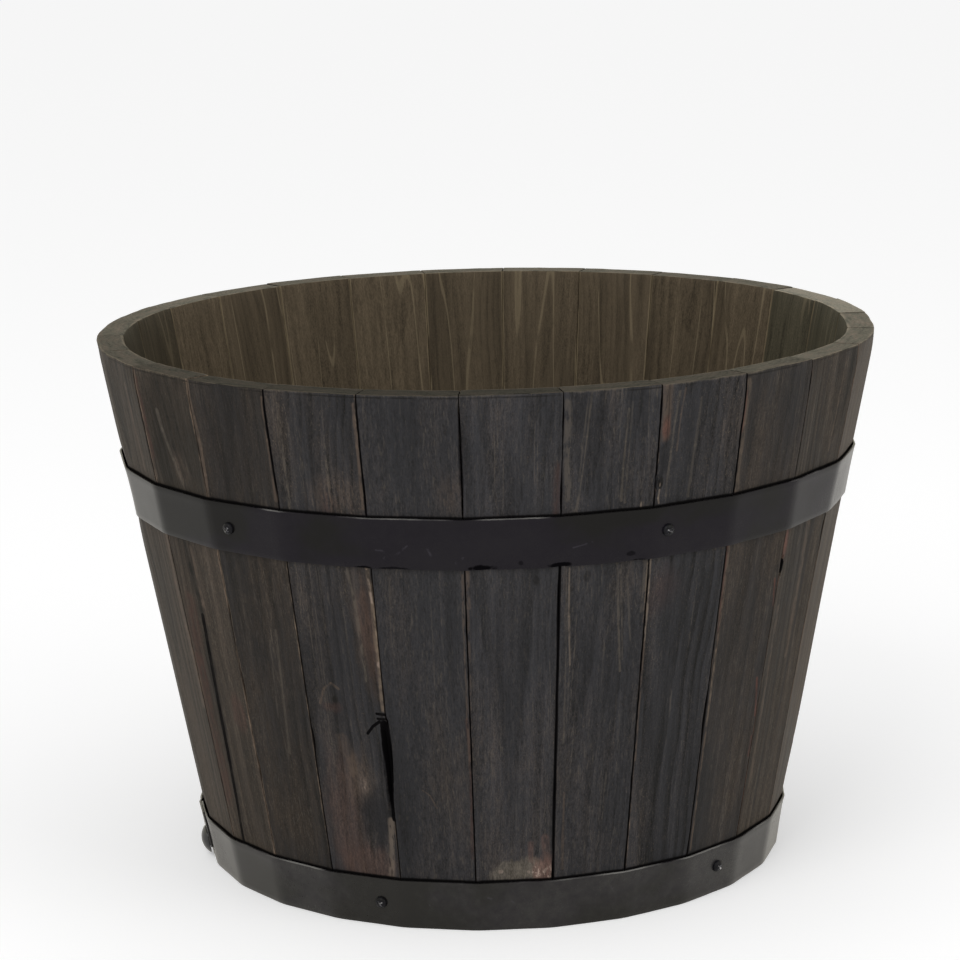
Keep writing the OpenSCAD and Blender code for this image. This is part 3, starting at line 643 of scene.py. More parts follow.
# marks on single staves, in millimetres across from the stave's middle and up from the ground
staveMarks = {
    25: [
        patch("ink", 0.4, (-8, 215), (18, 55)), patch("pink", 0.45, (-10, 85), (14, 52), 0.6),
        patch("tan", 0.55, (4, 118), (10, 20), 0.6, 0.2, 0.5), patch("bare", 0.22, (7, 114), (4, 7), 0.6, 0.5),
        streak("tan", 0.4, 6, 0.6, (-6, 152), (0, 125)), patch("pink", 0.45, (6, 50), (20, 14)),
        patch("ink", 0.85, (13.5, 90), (12.5, 21), 0.4, 0, 0.1), streak("pale", 0.42, 3.4, 1, (26.2, 88), (21.5, 40)),
        patch("tan", 0.5, (22.5, 245), (8, 48), 0.6, 0.2, 0.5), patch("pink", 0.6, (25.5, 240), (6, 34), 0.6, 0, 0.4),
        streak("streak", 0.55, 1.8, 0.9, (14.2, 286), (17.5, 262), (18.5, 235), (19.5, 200)),
        streak("worn", 0.68, 2.8, 0.7, (30.5, 288), (32, 262), (31.4, 225)),
        streak("worn", 0.66, 2.1, 0.5, (31.4, 225), (30.6, 196), (30.2, 178)),
        streak("bare", 0.5, 1.2, 1, (30.2, 287), (31.4, 262)), patch("bare", 0.75, (31.2, 213.5), (1.3, 2.4), 0.4),
        streak("tan", 0.7, 2.2, 0.6, (34.8, 411), (34.5, 380), (33.2, 334)),
        streak("tan", 0.5, 1.6, 0.6, (-20.8, 178), (-16.4, 190), (-10.1, 195), (-4.3, 191)),
        patch("rust", 0.35, (-12, 176), (7, 4.2)), patch("black", 0.75, (-8.8, 182), (2.6, 3), 0.4),
        crack("black", 0.98, 1.2, 0.2, (24.7, 174.2), (31.5, 174)),
        crack("black", 0.98, 1.1, 0.2, (25.1, 170.3), (31.5, 170)),
        crack("black", 1, 1.3, 0.1, (26.2, 168), (20.5, 163.8), (15.4, 157.5)),
        crack("wedge", 0.98, 2.6, 0, (28.8, 166.5), (28.2, 150), (28.3, 127)),
        crack("wedge", 0.97, 2.6, 0, (28.3, 127), (28, 112), (28.5, 99), (29.3, 90)),
        streak("black", 0.9, 1.6, 0.3, (28.3, 127), (28.8, 108), (29.3, 90)),
        patch("tan", 0.42, (12, 340), (22, 14), 0.6, 0.3, 0.8), patch("rust", 0.3, (6, 333), (6, 10), 0.6, 0, 0.8),
    ],
    26: [
        patch("tan", 0.32, (27, 346), (9, 14), 0.6, 0.3, 0.8),
        streak("rust", 0.4, 2, 0.6, (29, 172), (30, 140), (26.8, 60)),
        streak("tan", 0.45, 1, 0.6, (-7, 114), (-2, 110), (2.6, 100)),
        crack("wedge", 0.97, 1.9, 0, (-30.9, 169), (-29.8, 150), (-30, 120)),
        streak("tan", 0.42, 1.4, 1, (32.2, 285), (30, 220), (29.2, 130)),
    ],
    1: [
        streak("tan", 0.6, 2.6, 0.8, (-32.5, 287), (-31.6, 260)),
        streak("tan", 0.36, 1.3, 1, (-31.8, 260), (-30, 150)), patch("stone", 0.85, (0.5, 47), (14.5, 9.5), 0.16),
        patch("stone", 0.85, (12, 49), (14, 10.5), 0.2), patch("rose", 0.75, (21.5, 47), (8, 13), 0.35),
        patch("bare", 0.62, (19, 44), (10, 8.5), 0.4, 0.95), patch("bare", 0.35, (-10.2, 48), (1.6, 1.4), 0.4),
        streak("rose", 0.38, 5, 0.6, (23.8, 56), (22.5, 74)), streak("rose", 0.4, 3.2, 0.6, (12.5, 56), (12.5, 70)),
        streak("rust", 0.8, 1.8, 0.2, (9.5, 40.2), (16, 39.8)), streak("rust", 0.35, 4, 0.6, (32.5, 366), (31, 328)),
        patch("black", 0.5, (17, 279), (2, 2.8)),
    ],
    2: [
        patch("ink", 0.3, (-20, 400), (14, 12)),
        streak("streak", 0.45, 1.3, 0.6, (-16.1, 417), (-18.2, 385), (-20.5, 356), (-23.7, 329)),
        streak("streak", 0.35, 1.1, 0.6, (-18.5, 414), (-20.5, 385), (-22.6, 352)),
        streak("streak", 0.45, 1.4, 0.6, (12.1, 403), (10.9, 379), (10, 359), (9.8, 335)),
        streak("streak", 0.35, 1.1, 0.6, (14.5, 408), (13.4, 360), (12.4, 333)),
        streak("streak", 0.45, 3.4, 0.95, (-33.5, 411), (-30.5, 340)),
        streak("pale", 0.38, 1.2, 0.6, (-26.8, 287), (-25.5, 250), (-22.9, 212)),
        streak("streak", 0.3, 1, 0.6, (-28.5, 280), (-26.2, 222), (-25, 150)),
        streak("streak", 0.5, 1.2, 0.6, (9.6, 287), (12.8, 240), (15.8, 203)),
        streak("streak", 0.35, 1, 0.6, (12.4, 285), (17.2, 212)),
        streak("streak", 0.35, 1.1, 0.6, (17.4, 277), (22.5, 226)),
        streak("streak", 0.4, 2.2, 0.95, (31.5, 286), (30.2, 248)),
        streak("tan", 0.42, 1.2, 0.6, (-22.5, 110), (-21.5, 48)),
        streak("worn", 0.45, 1.1, 1, (32.8, 286), (31.8, 240)), patch("black", 0.55, (-13.5, 279.5), (2.4, 3.6)),
        patch("pale", 0.62, (25, 330), (0.8, 3), 0.5),
    ],
    3: [
        streak("tan", 0.62, 5.8, 0.5, (-32.5, 419), (-30.5, 380)), patch("red", 0.6, (-30.8, 386), (3, 8.5)),
        streak("grimeAndShade", 0.45, 0.9, 0.6, (-30.5, 416), (-28.5, 372)), patch("ink", 0.85, (-29.7, 362), (4.2, 14), 0.3),
        patch("black", 0.88, (-31, 345.5), (2.4, 5.2), 0.2),
        streak("pale", 0.7, 1.3, 0.5, (-31.2, 340), (-31.6, 334), (-30.6, 330)),
        patch("pale", 0.6, (-31.2, 344), (0.5, 1.6), 0.4),
        streak("streak", 0.45, 1.4, 0.6, (-21.5, 412), (-23.4, 390), (-24.4, 368), (-25.6, 335)),
        streak("tan", 0.4, 1.2, 0.6, (-17, 414), (-19, 395), (-19.5, 368)),
        streak("streak", 0.3, 1.6, 0.6, (-2, 405), (-4, 370), (-6, 332)),
        patch("rust", 0.22, (-20, 262), (12, 16), 0.7),
        streak("pale", 0.6, 1.3, 0.7, (-32.6, 288), (-31.8, 262), (-31.2, 225)),
        streak("tan", 0.55, 1.3, 1, (-31.2, 225), (-29, 130)),
    ],
    4: [
        streak("worn", 0.36, 3.6, 0.75, (-34, 412), (-33.5, 380), (-33.5, 360), (-31.8, 328)),
        streak("red", 0.45, 1.6, 0.6, (-35, 405), (-34.5, 375)),
        streak("red", 0.5, 1.4, 0.6, (-32.6, 288), (-30, 221)),
        streak("tan", 0.75, 2, 0.8, (-30.8, 287), (-29.6, 240), (-29, 206)),
        streak("worn", 0.62, 1.5, 0.7, (-29, 206), (-27.6, 146)),
        streak("tan", 0.65, 1.3, 0.8, (-27.6, 146), (-25.8, 44)),
        streak("red", 0.7, 1.6, 0.6, (24.9, 172), (29.5, 141)), streak("red", 0.5, 1.8, 0.6, (28.6, 124), (28, 108)),
        streak("red", 0.6, 1.6, 0.6, (29, 250), (31.2, 229)),
    ],
    5: [
        patch("red", 0.6, (-30, 277), (3, 10)), patch("black", 0.98, (-30.9, 259.5), (1.8, 5), 0.15),
        streak("tan", 0.45, 3, 0.9, (-24, 225), (-20, 80)), streak("tan", 0.45, 4, 0.9, (5, 286), (6, 180)),
        streak("ink", 0.6, 3, 0.6, (13, 285), (11, 120)), streak("ink", 0.5, 2.4, 0.6, (-8, 240), (-6, 60)),
        streak("tan", 0.5, 1.6, 0.9, (18, 412), (16, 340)), streak("ink", 0.55, 2.4, 0.6, (-10, 412), (-9, 335)),
    ],
    23: [
        patch("dim", 0.82, (4, 376), (34, 56), 0.5, 0, 0.1), patch("dim", 0.75, (-17, 346), (10, 20), 0.5),
        streak("streak", 0.46, 2.6, 0.6, (-12, 388), (-9.8, 373.4), (-3, 352), (3.5, 334.5)),
        patch("tan", 0.42, (6, 346), (9, 12), 0.6, 0.3, 0.8),
        streak("black", 0.6, 3.4, 0.4, (-4, 410), (1, 385), (2, 362), (8, 340)),
        streak("black", 0.55, 2.6, 0.4, (10, 408), (12, 378), (18, 345)),
        streak("black", 0.5, 2.6, 0.4, (-18, 395), (-14, 365), (-12, 335)),
        streak("tan", 0.55, 2.6, 0.8, (-35.2, 412), (-34.5, 380), (-32.5, 334)),
        streak("rust", 0.6, 3, 0.6, (-33, 410), (-32.2, 380), (-31, 350)),
        streak("rust", 0.5, 10, 0.8, (-20, 240), (-24.2, 187), (-25.5, 76)),
        streak("tan", 0.55, 2.4, 0.6, (-4, 283), (-2.8, 240), (-3.2, 222)),
        streak("black", 0.7, 3, 0.3, (-10.8, 285), (-9.8, 262), (-8, 245), (-7.5, 222)),
        patch("black", 0.7, (-10, 266.5), (2.8, 4), 0.5),
        streak("black", 0.62, 5.6, 0.2, (-6.5, 232), (-8.8, 184), (-10.4, 139), (-11, 109)),
        crack("black", 0.8, 2.4, 0.2, (-6.8, 228), (-8.8, 184), (-10.4, 139), (-11, 109)),
        crack("black", 0.74, 2.1, 0.3, (-11, 109), (-12.6, 75), (-14.7, 41)),
        streak("black", 0.72, 3, 0.3, (-11, 109), (-14.7, 41)), patch("rust", 0.4, (17.5, 154), (8, 13)),
    ],
    22: [
        streak("tan", 0.65, 4.2, 0.5, (30, 287), (26.7, 249), (27.8, 212), (27.1, 150)),
        streak("tan", 0.45, 3, 0.6, (10, 400), (12, 335)),
    ],
    24: [
        streak("tan", 0.6, 2, 0.7, (35, 412), (34.3, 380), (33.4, 335)),
        streak("streak", 0.36, 1.7, 0.8, (11.5, 231), (4.8, 132)),
        streak("streak", 0.28, 1.4, 0.8, (3.7, 222), (-1, 160)), patch("ink", 0.38, (2, 372), (28, 46), 0.7),
        streak("tan", 0.8, 2.1, 0.5, (-36.2, 417), (-34.5, 390), (-32.7, 366), (-33.1, 346), (-34.2, 329)),
        streak("worn", 0.6, 1.4, 0.9, (-33.6, 286), (-33, 262), (-32.3, 225)),
        streak("tan", 0.6, 1.3, 1, (-32, 225), (-29.2, 60)),
    ],
}
staveMaterial = stainedWood("staveWood")
blank = staveBlank()
print("stave blank:", len(blank.polygons), "faces")
for i in range(tub["staves"]):
    bm = bmesh.new()
    bm.from_mesh(blank)
    weatherStave(bm, i + 1)
    bmesh.ops.transform(bm, matrix=turnOf(i), verts=bm.verts[:])
    for v in bm.verts:
        v.co = settled(v.co)
    marks = staveMarks.get(i + 1)
    material = stainedWood(f"staveWood{i + 1:02d}", marks) if marks else staveMaterial
    addPiece(bm, f"staveWood_{i + 1:02d}", material, [f"stave_{i + 1:02d}"])
bpy.data.meshes.remove(blank)
print("staves made")

# hoops of strip steel
strip = {
    "thick": 0.0016,
    "offWood": 0.0001,
    "standOff": 0.0003,      # how much further the strip stands off than its least gap
    "fold": 0.0050,          # reach of the rounded fold at each joint between staves
    "edge": 0.00035,         # rounding of the strip's edges
    "lap": 0.032,
    "bend": 0.006,
    "cornerRound": 0.004,    # rounding of the outer end's corners
    "endGap": 0.001,
    "lapGap": 0.0001,
    "upperLow": 0.288625,
    "lowerLow": 0.001,
    "lowerFoot": 0.0002,     # the lower hoop's bottom edge, worn down to the ground
    "tall": 0.038375,
    "upperLapStave": 18,
    "lowerLapStave": 21,
}
# dents in the upper hoop's lower edge: stave, millimetres across from its middle, width, height, depth
upperDents = [(25, 27, 16, 4.5, 1.1), (26, -17, 20, 4.5, 0.8), (1, -19, 20, 5.5, 1.2), (1, 6, 5, 9, 0.9),
              (1, 33, 16, 6.5, 1.4), (2, -30, 14, 6, 1.2), (2, 23, 10, 5.5, 1)]
stripFace = strip["offWood"] + strip["thick"] + strip["standOff"]      # from the wood to the strip's outside


def bandRadius(z, lift):
    return (outerFace(z) + lift / math.cos(slope)) / math.cos(halfPitch)


def makeHoop(name, low, high, lapStave, dents, material, node):
    tall = high - low
    bm = bmesh.new()
    start = Matrix.Translation((0, 0, low)) @ Matrix.Rotation(math.radians(tub["firstJoint"]), 4, "Z")
    bmesh.ops.create_circle(bm, segments=tub["staves"], radius=bandRadius(low, stripFace), matrix=start)
    raised = onlyVerts(bmesh.ops.extrude_edge_only(bm, edges=bm.edges[:])["geom"])
    grow = bandRadius(high, stripFace) / bandRadius(low, stripFace)
    bmesh.ops.scale(bm, vec=(grow, grow, 1), verts=raised)
    bmesh.ops.translate(bm, vec=(0, 0, tall), verts=raised)
    folds = [e for e in bm.edges if abs(e.verts[0].co.z - e.verts[1].co.z) > 0.01]
    rounded(bm, folds, strip["fold"], 4)

    # the lap: the plain strip ends under the outer end, which bends out over it
    here = faceFrame(lapStave - 1)
    away = here.inverted()
    across = here.to_3x3() @ Vector((1, 0, 0))
    outer = here.to_3x3() @ Vector((0, -1, 0))
    bendEnd = -strip["lap"] / 2 - strip["endGap"]
    bendStart, innerEnd = bendEnd - strip["bend"], -strip["lap"] / 2
    for at in (bendStart, innerEnd):
        near = [f for f in bm.faces if (away @ f.calc_center_median()).xy.length < 0.03
                and abs((f.normal.dot(outer))) > 0.999]
        bmesh.ops.bisect_plane(bm, geom=near + list({e for f in near for e in f.edges})
                               + list({v for f in near for v in f.verts}),
                               dist=1e-6, plane_co=here @ Vector((at, 0, 0)), plane_no=across)
    gap = Vector(((bendStart + innerEnd) / 2, 0, 0))
    gone = [f for f in bm.faces if (away @ f.calc_center_median() - gap).xy.length < 0.003]
    bmesh.ops.delete(bm, geom=gone, context="FACES")
    lift = strip["thick"] + strip["lapGap"]

    def rimAt(at):
        return [e for e in bm.edges if len(e.link_faces) == 1
                and all(abs((away @ v.co).x - at) < 1e-4 and abs((away @ v.co).y) < 0.02 for v in e.verts)]
    for travel, climb in ((strip["bend"], lift), (strip["lap"] / 2 - bendEnd, 0)):
        edge = rimAt(bendStart if climb else bendEnd)
        grown = onlyVerts(bmesh.ops.extrude_edge_only(bm, edges=edge)["geom"])
        bmesh.ops.translate(bm, vec=across * travel + outer * climb, verts=grown)
    rounded(bm, grown, strip["cornerRound"], 4, "VERTICES")

    # slices for the unevenness and the dents
    for k in range(1, 9):
        sliceAt(bm, (0, 0, low + tall * k / 9), (0, 0, 1))
    wide = [e for e in bm.edges if e.calc_length() > 0.02 and abs(e.verts[0].co.z - e.verts[1].co.z) < 0.002]
    bmesh.ops.subdivide_edges(bm, edges=wide, cuts=13, use_grid_fill=True)
    facesOut(bm)
    if sum(f.normal.dot(Vector((f.calc_center_median().x, f.calc_center_median().y, 0))) for f in bm.faces) < 0:
        bmesh.ops.reverse_faces(bm, faces=bm.faces[:])
    bm.normal_update()
    moves = []
    for v in bm.verts:
        share = (v.co.z - low) / tall
        turn = math.atan2(v.co.x, -v.co.y)
        push = 0.00022 * wobble(math.sin(turn) * 9, math.cos(turn) * 9, share * 1.4 + low * 20)
        push += 0.00035 * clamp((share - 0.75) * 4) ** 2
        for stave, *sizes in dents:
            at, width, rise, deep = metres(sizes)[0]
            spot = faceFrame(stave - 1).inverted() @ v.co
            if abs(spot.y) < 0.01:
                du = (spot.x - at) / (width / 2)
                dv = (v.co.z - low - 0.0015) / rise
                push -= deep * math.exp(-1.3 * (du * du) ** 1.5 - 1.4 * dv * dv)
        moves.append((v, v.normal * push))
    for v, move in moves:
        v.co = settled(v.co + move)
    bm.normal_update()
    bmesh.ops.solidify(bm, geom=bm.faces[:], thickness=strip["thick"])
    facesOut(bm)
    rim = [e for e in bm.edges if len(e.link_faces) == 2 and e.calc_face_angle(0) > math.radians(60)]
    rounded(bm, rim, strip["edge"])
    return addPiece(bm, name, material, [node], 40)


hoopTones = {
    "paint": srgb(24, 23, 23),
    "violet": srgb(25, 22, 29),
    "dust": srgb(56, 55, 53),
    "bare": srgb(150, 148, 144),
    "scuff": srgb(66, 63, 70),
    "dentShade": srgb(10, 9, 11),
}


def hoopPaint(name, top, dustAndBounceLight, shine, scuffs, dentShadows):
    material, g, shader = newMaterial(name, {"Specular IOR Level": shine, "Specular Tint": (1.0, 0.99, 0.93, 1.0)})
    place = g.add("TexCoord", {}, {}, "Object")
    x, y, z = place.split()
    patchy = g.cloud(g.stretch(place, (9, 9, 14)), 3.0, 0.55)
    fine = g.cloud(g.stretch(place, (420, 420, 420)), 2.0, 0.6)
    speck = g.cloud(g.stretch(place, (150, 150, 150)), 3.0, 0.65)
    colour = g.mix(hoopTones["paint"], hoopTones["violet"], g.ease(patchy, 0.42, 0.56))
    # dust, and on the lower hoop partly painted light from the floor's bounce
    colour = g.mix(colour, hoopTones["dust"], g.ease(patchy * 0.7 + speck * 0.3, 0.40, 0.72) * dustAndBounceLight)
    front = 1 - g.ease(y, -0.05, 0.05)
    hollow = x * 0
    for start, end, width in scuffs:
        mask = lineMask(g, x, z, *metres(start, end), width / 1000, (speck - 0.5) * 2.5) * front
        colour = g.mix(colour, hoopTones["scuff"], mask * g.ease(speck, 0.44, 0.56) * 0.4)
    # dark spots: painted shade where the strip's lower edge is dented, laid in the matte shadow shader
    for at, size, amount in dentShadows:
        mask = blotMask(g, x, z, *metres(at, size), (speck - 0.5) * 1.6, 0.3) * front
        hollow = hollow.orMore(mask * amount)
    # the top edge rubbed bare: wear, and a painted highlight along that edge
    rubAndGlint = g.ease(z + (speck - 0.5) * 0.0008, top - 0.0007, top - 0.0001) * g.ease(patchy, 0.50, 0.62)
    colour = g.mix(colour, hoopTones["bare"], rubAndGlint * 0.6)
    rough = (patchy - 0.5) * 0.20 + (fine - 0.5) * 0.08 + 0.25
    relief = g.cloud(g.stretch(place, (55, 55, 55)), 2.0) * 0.8 + fine * 0.12
    bump = g.add("Bump", {}, {"Strength": 0.25, "Distance": 0.0004, "Height": relief})
    feed(g, shader, Base_Color=colour, Roughness=rough, Normal=bump)
    shadowed(g, shader, hollow, hoopTones["dentShade"])
    return material


# places on the hoops' fronts, in millimetres: scuffs have two ends and a width; the dark spots along the upper hoop's
# lower edge, painted shade in its dents, have a middle, a size and a darkness
upperScuffs = [((-79.8, 303.2), (-72.7, 302.6), 1.2), ((-72.7, 302.6), (-75.1, 295.6), 1.2),
               ((-65.7, 299.7), (-57.6, 306.8), 1.2), ((-43.4, 305.6), (-40.7, 299.5), 1.4),
               ((-23.1, 294.6), (-18.1, 298.5), 1.4), ((60, 303), (74, 306), 1)]
upperDentShadows = [((-89, 288.6), (6.4, 1.6), 0.95), ((-67, 289.3), (10, 1.1), 0.7), ((-4.5, 290.4), (8.8, 2.1), 0.97),
              ((-13, 290.2), (2, 1.2), 0.9), ((22.9, 293.2), (1.6, 1.5), 0.55), ((51.5, 290.4), (8.8, 1.8), 0.97),
              ((101.7, 294.3), (3.2, 1.7), 0.6), ((106, 288.4), (5.2, 1.2), 0.9)]
lowerScuffs = [((-5.7, 27.5), (-2.5, 26.2), 1.2), ((11.3, 24.1), (13.5, 22.5), 1.2), ((-52, 22), (-49, 20), 1),
               ((86, 28), (88, 24), 1)]
upperPaint = hoopPaint("upperHoopPaint", strip["upperLow"] + strip["tall"], 0.12, 0.10, upperScuffs, upperDentShadows)
# the lower hoop's paint is dustier, partly as painted light from the floor's bounce
lowerPaint = hoopPaint("lowerHoopPaint", strip["lowerLow"] + strip["tall"], 0.85, 0.28, lowerScuffs, [])
makeHoop("upperHoopStrip", strip["upperLow"], strip["upperLow"] + strip["tall"], strip["upperLapStave"], upperDents,
         upperPaint, "upper_hoop")
makeHoop("lowerHoopStrip", strip["lowerFoot"], strip["lowerLow"] + strip["tall"], strip["lowerLapStave"], [],
         lowerPaint, "lower_hoop")
print("hoops made")

# screws and bolts
fasteners = {
    "screwFirstUpper": -41.4, "screwFirstLower": -21.5, "screwStep": 68.1,   # degrees from the front
    "screwEdge": 0.012,      # least distance from a screw to a joint
    "screwLifts": {"upper": (0, 0.0018, 0, 0), "lower": (-0.0004, 0.0028, 0, 0)},   # how far each sits off the middle
    "boltHeadRadius": 0.011, "boltHeadTall": 0.0055, "boltRadius": 0.004,
    "lowerBoltHeight": 0.0135,
    "washerRadius": 0.008, "washerThick": 0.0016,
    "nutFlats": 0.013, "nutTall": 0.0065, "boltEnd": 0.003,
    "threadLong": 0.0135, "threadPitch": 0.00125, "threadDeep": 0.0006,
}


def spun(profile, steps=40):
    # profile points are (radius, height) from the top of the axis to its foot
    bm = bmesh.new()
    verts = [bm.verts.new((r, 0, z)) for r, z in profile]
    edges = [bm.edges.new(pair) for pair in zip(verts, verts[1:])]
    bmesh.ops.spin(bm, geom=verts + edges, cent=(0, 0, 0), axis=(0, 0, 1), angle=2 * math.pi, steps=steps,
                   use_merge=True)
    bmesh.ops.remove_doubles(bm, verts=bm.verts[:], dist=1e-6)
    facesOut(bm)
    return bm


def carve(bm, cutters):
    # takes each cutter out of the shape, and returns the result
    body, *helpers = [linked("parked", meshOf(shape, "parked")) for shape in (bm, *cutters)]
    for helper in helpers:
        cut = body.modifiers.new("cut", "BOOLEAN")
        cut.object, cut.operation, cut.solver = helper, "DIFFERENCE", "EXACT"
    bpy.context.view_layer.update()
    made = bpy.data.meshes.new_from_object(body.evaluated_get(bpy.context.evaluated_depsgraph_get()))
    result = bmesh.new()
    result.from_mesh(made)
    for holder in [body] + helpers:
        mesh = holder.data
        bpy.data.objects.remove(holder)
        bpy.data.meshes.remove(mesh)
    bpy.data.meshes.remove(made)
    return result


def blade(length, width, deep, top, turn):
    # one wing of a cross recess, narrower at its foot
    bm = bmesh.new()
    bmesh.ops.create_cube(bm, size=1.0)
    for v in bm.verts:
        pinch = 0.62 if v.co.z < 0 else 1.05
        v.co = Vector((v.co.x * length * pinch, v.co.y * width * pinch, top + v.co.z * deep * 2))
    bmesh.ops.rotate(bm, cent=(0, 0, 0), matrix=Matrix.Rotation(turn, 3, "Z"), verts=bm.verts[:])
    return bm


def panHead(turn):
    profile = [(0, 3.2), (1.2, 3.17), (2.3, 3.0), (3.3, 2.62), (4.05, 2.05), (4.45, 1.35), (4.6, 0.7), (4.6, 0.15),
               (4.45, 0.0), (2.4, 0.0), (2.4, -10), (0, -12)]
    head = spun([(r / 1000, z / 1000) for r, z in profile])
    head = carve(head, [blade(0.0060, 0.0013, 0.0017, 0.0032, turn + wing) for wing in (0, math.pi / 2)])
    for face in head.faces:      # the driver has worn the recess bare
        middle = face.calc_center_median()
        inside = math.hypot(middle.x, middle.y) < 0.0034 and 0.0005 < middle.z < 0.0029
        face.material_index = 1 if inside and (face.normal.z < 0.5 or middle.z < 0.002) else 0
    return head


def join(bm, other, matrix):
    bmesh.ops.transform(other, matrix=matrix, verts=other.verts[:])
    mesh = meshOf(other, "joined")
    bm.from_mesh(mesh)
    bpy.data.meshes.remove(mesh)


def screwPlace(first, k, low):
    turn = math.radians(first + k * fasteners["screwStep"] - tub["firstJoint"]) / pitch
    middle = low + strip["tall"] / 2
    most = faceWidth(middle) / 2 - fasteners["screwEdge"]
    shift = clamp((turn - math.floor(turn) - 0.5) * faceWidth(middle), -most, most)
    return math.floor(turn) % tub["staves"], shift, middle


def metal(name, colour, metallic, rough, patch, spread, bumpiness, shine=0.5):
    material, g, shader = newMaterial(name, {"Metallic": metallic, "Specular IOR Level": shine})
    place = g.add("TexCoord", {}, {}, "Object")
    coarse = g.cloud(g.stretch(place, (240, 240, 240)), 3.0, 0.6)
    fine = g.cloud(g.stretch(place, (1500, 1500, 1500)), 2.0, 0.6)
    tint = g.mix(colour, patch, g.ease(coarse * 0.6 + fine * 0.4, 0.38, 0.66))
    roughness = (coarse - 0.5) * spread + rough
    bump = g.add("Bump", {}, {"Strength": bumpiness, "Distance": 0.0001, "Height": coarse * 0.6 + fine * 0.4})
    feed(g, shader, Base_Color=tint, Roughness=roughness, Normal=bump)
    return material


screwBlack = metal("screwBlack", srgb(10, 10, 14), 0.0, 0.35, srgb(22, 22, 28), 0.3, 0.5, 0.14)
screwWorn = metal("screwWorn", srgb(225, 225, 230), 1.0, 0.4, srgb(40, 40, 44), 0.3, 0.6)
boltBlack = metal("boltBlack", srgb(20, 21, 26), 0.0, 0.26, srgb(34, 35, 40), 0.2, 0.3)
zincPlate = metal("zincPlate", srgb(168, 168, 164), 1.0, 0.42, srgb(196, 195, 188), 0.3, 0.4)

for word, first, low in (("upper", fasteners["screwFirstUpper"], strip["upperLow"]),
                         ("lower", fasteners["screwFirstLower"], strip["lowerLow"])):
    bm = bmesh.new()
    for k, lifted in enumerate(fasteners["screwLifts"][word]):
        i, shift, middle = screwPlace(first, k, low)
        join(bm, panHead(0.5 + 1.9 * k + low), fastenerFrame(i, shift, middle + lifted, stripFace))
    piece = addPiece(bm, word + "HoopScrewHeads", screwBlack, [word + "_hoop_screws"], 30)
    piece.data.materials.append(screwWorn)

lapFace = stripFace + strip["thick"] + strip["lapGap"]
for word, stave, height in (("upper", strip["upperLapStave"], strip["upperLow"] + strip["tall"] / 2),
                            ("lower", strip["lowerLapStave"], fasteners["lowerBoltHeight"])):
    place = fastenerFrame(stave - 1, 0, height)
    radius, tall = fasteners["boltHeadRadius"], fasteners["boltHeadTall"]
    rimTall = 0.0009
    ball = (radius ** 2 + (tall - rimTall) ** 2) / (2 * (tall - rimTall))
    dome = [(ball * math.sin(a), lapFace + tall - ball + ball * math.cos(a))
            for a in (math.asin(radius / ball) * k / 10 for k in range(11))]
    long = lapFace + tub["staveThick"] + fasteners["washerThick"] + fasteners["nutTall"] + fasteners["boltEnd"]
    shank = fasteners["boltRadius"]
    foot = lapFace - long
    ridges = []
    z, deep = foot + fasteners["threadLong"], fasteners["threadDeep"]
    while z > foot + deep:
        ridges += [(shank, z), (shank - deep, z - deep)]
        z -= fasteners["threadPitch"]
    profile = dome + [(radius, lapFace + 0.0002), (radius - 0.0003, lapFace), (shank, lapFace)] + ridges \
        + [(shank - 0.0007, foot), (0, foot)]
    bm = bmesh.new()
    join(bm, spun(profile, 48), place)
    addPiece(bm, word + "LapBolt", boltBlack, [word + "_lap_bolt"], 30)

    seat = -tub["staveThick"]
    w, t, hole = fasteners["washerRadius"], fasteners["washerThick"], shank + 0.0003
    ring = [(hole, seat - 0.0001), (w - 0.0003, seat), (w, seat - 0.0004), (w, seat - t + 0.0003),
            (w - 0.0004, seat - t), (hole + 0.0002, seat - t), (hole, seat - t + 0.0002), (hole, seat - 0.0001)]
    bm = bmesh.new()
    join(bm, spun(ring), place)
    addPiece(bm, word + "LapWasher", zincPlate, [word + "_lap_washer"], 30)

    nut = bmesh.new()
    flats, high = fasteners["nutFlats"], fasteners["nutTall"]
    bmesh.ops.create_circle(nut, cap_ends=True, segments=6, radius=flats / 2 / math.cos(math.pi / 6))
    up = bmesh.ops.extrude_face_region(nut, geom=nut.faces[:])["geom"]
    bmesh.ops.translate(nut, vec=(0, 0, high), verts=onlyVerts(up))
    facesOut(nut)
    bore = bmesh.new()
    bmesh.ops.create_cone(bore, cap_ends=True, segments=32, radius1=shank + 0.0001, radius2=shank + 0.0001, depth=0.03)
    skirts = []
    for end in (0, 1):     # the round chamfer on the corners of both faces
        skirt = spun([(0.02, -0.004), (0.02, 0.004), (flats / 2 * 0.97, 0.004), (flats / 2 * 0.97, 0.0),
                      (flats / 2 + 0.0035, -0.002), (0.02, -0.004)], 48)
        flip = Matrix.Translation((0, 0, high)) if end else Matrix.Rotation(math.pi, 4, "X")
        bmesh.ops.transform(skirt, matrix=flip, verts=skirt.verts[:])
        skirts.append(skirt)
    nut = carve(nut, [bore] + skirts)
    bm = bmesh.new()
    join(bm, nut, place @ Matrix.Translation((0, 0, seat - t - high)))
    addPiece(bm, word + "LapNut", zincPlate, [word + "_lap_nut"], 25)
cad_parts["batten_screws"].data.materials.clear()
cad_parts["batten_screws"].data.materials.append(zincPlate)
print("fasteners made")

# base boards and battens
base = {
    "ease": 0.0006,          # rounding of the boards' upper edges
    "battenEase": 0.0012,
    "grid": 0.012,           # slices for the unevenness of the upper faces
    "sway": 0.0001,
    "holes": (0, -0.13, 0.13),      # where the drain holes stand along x
    "holeReach": 0.0065,     # an edge this near a hole's middle is on its rim
}


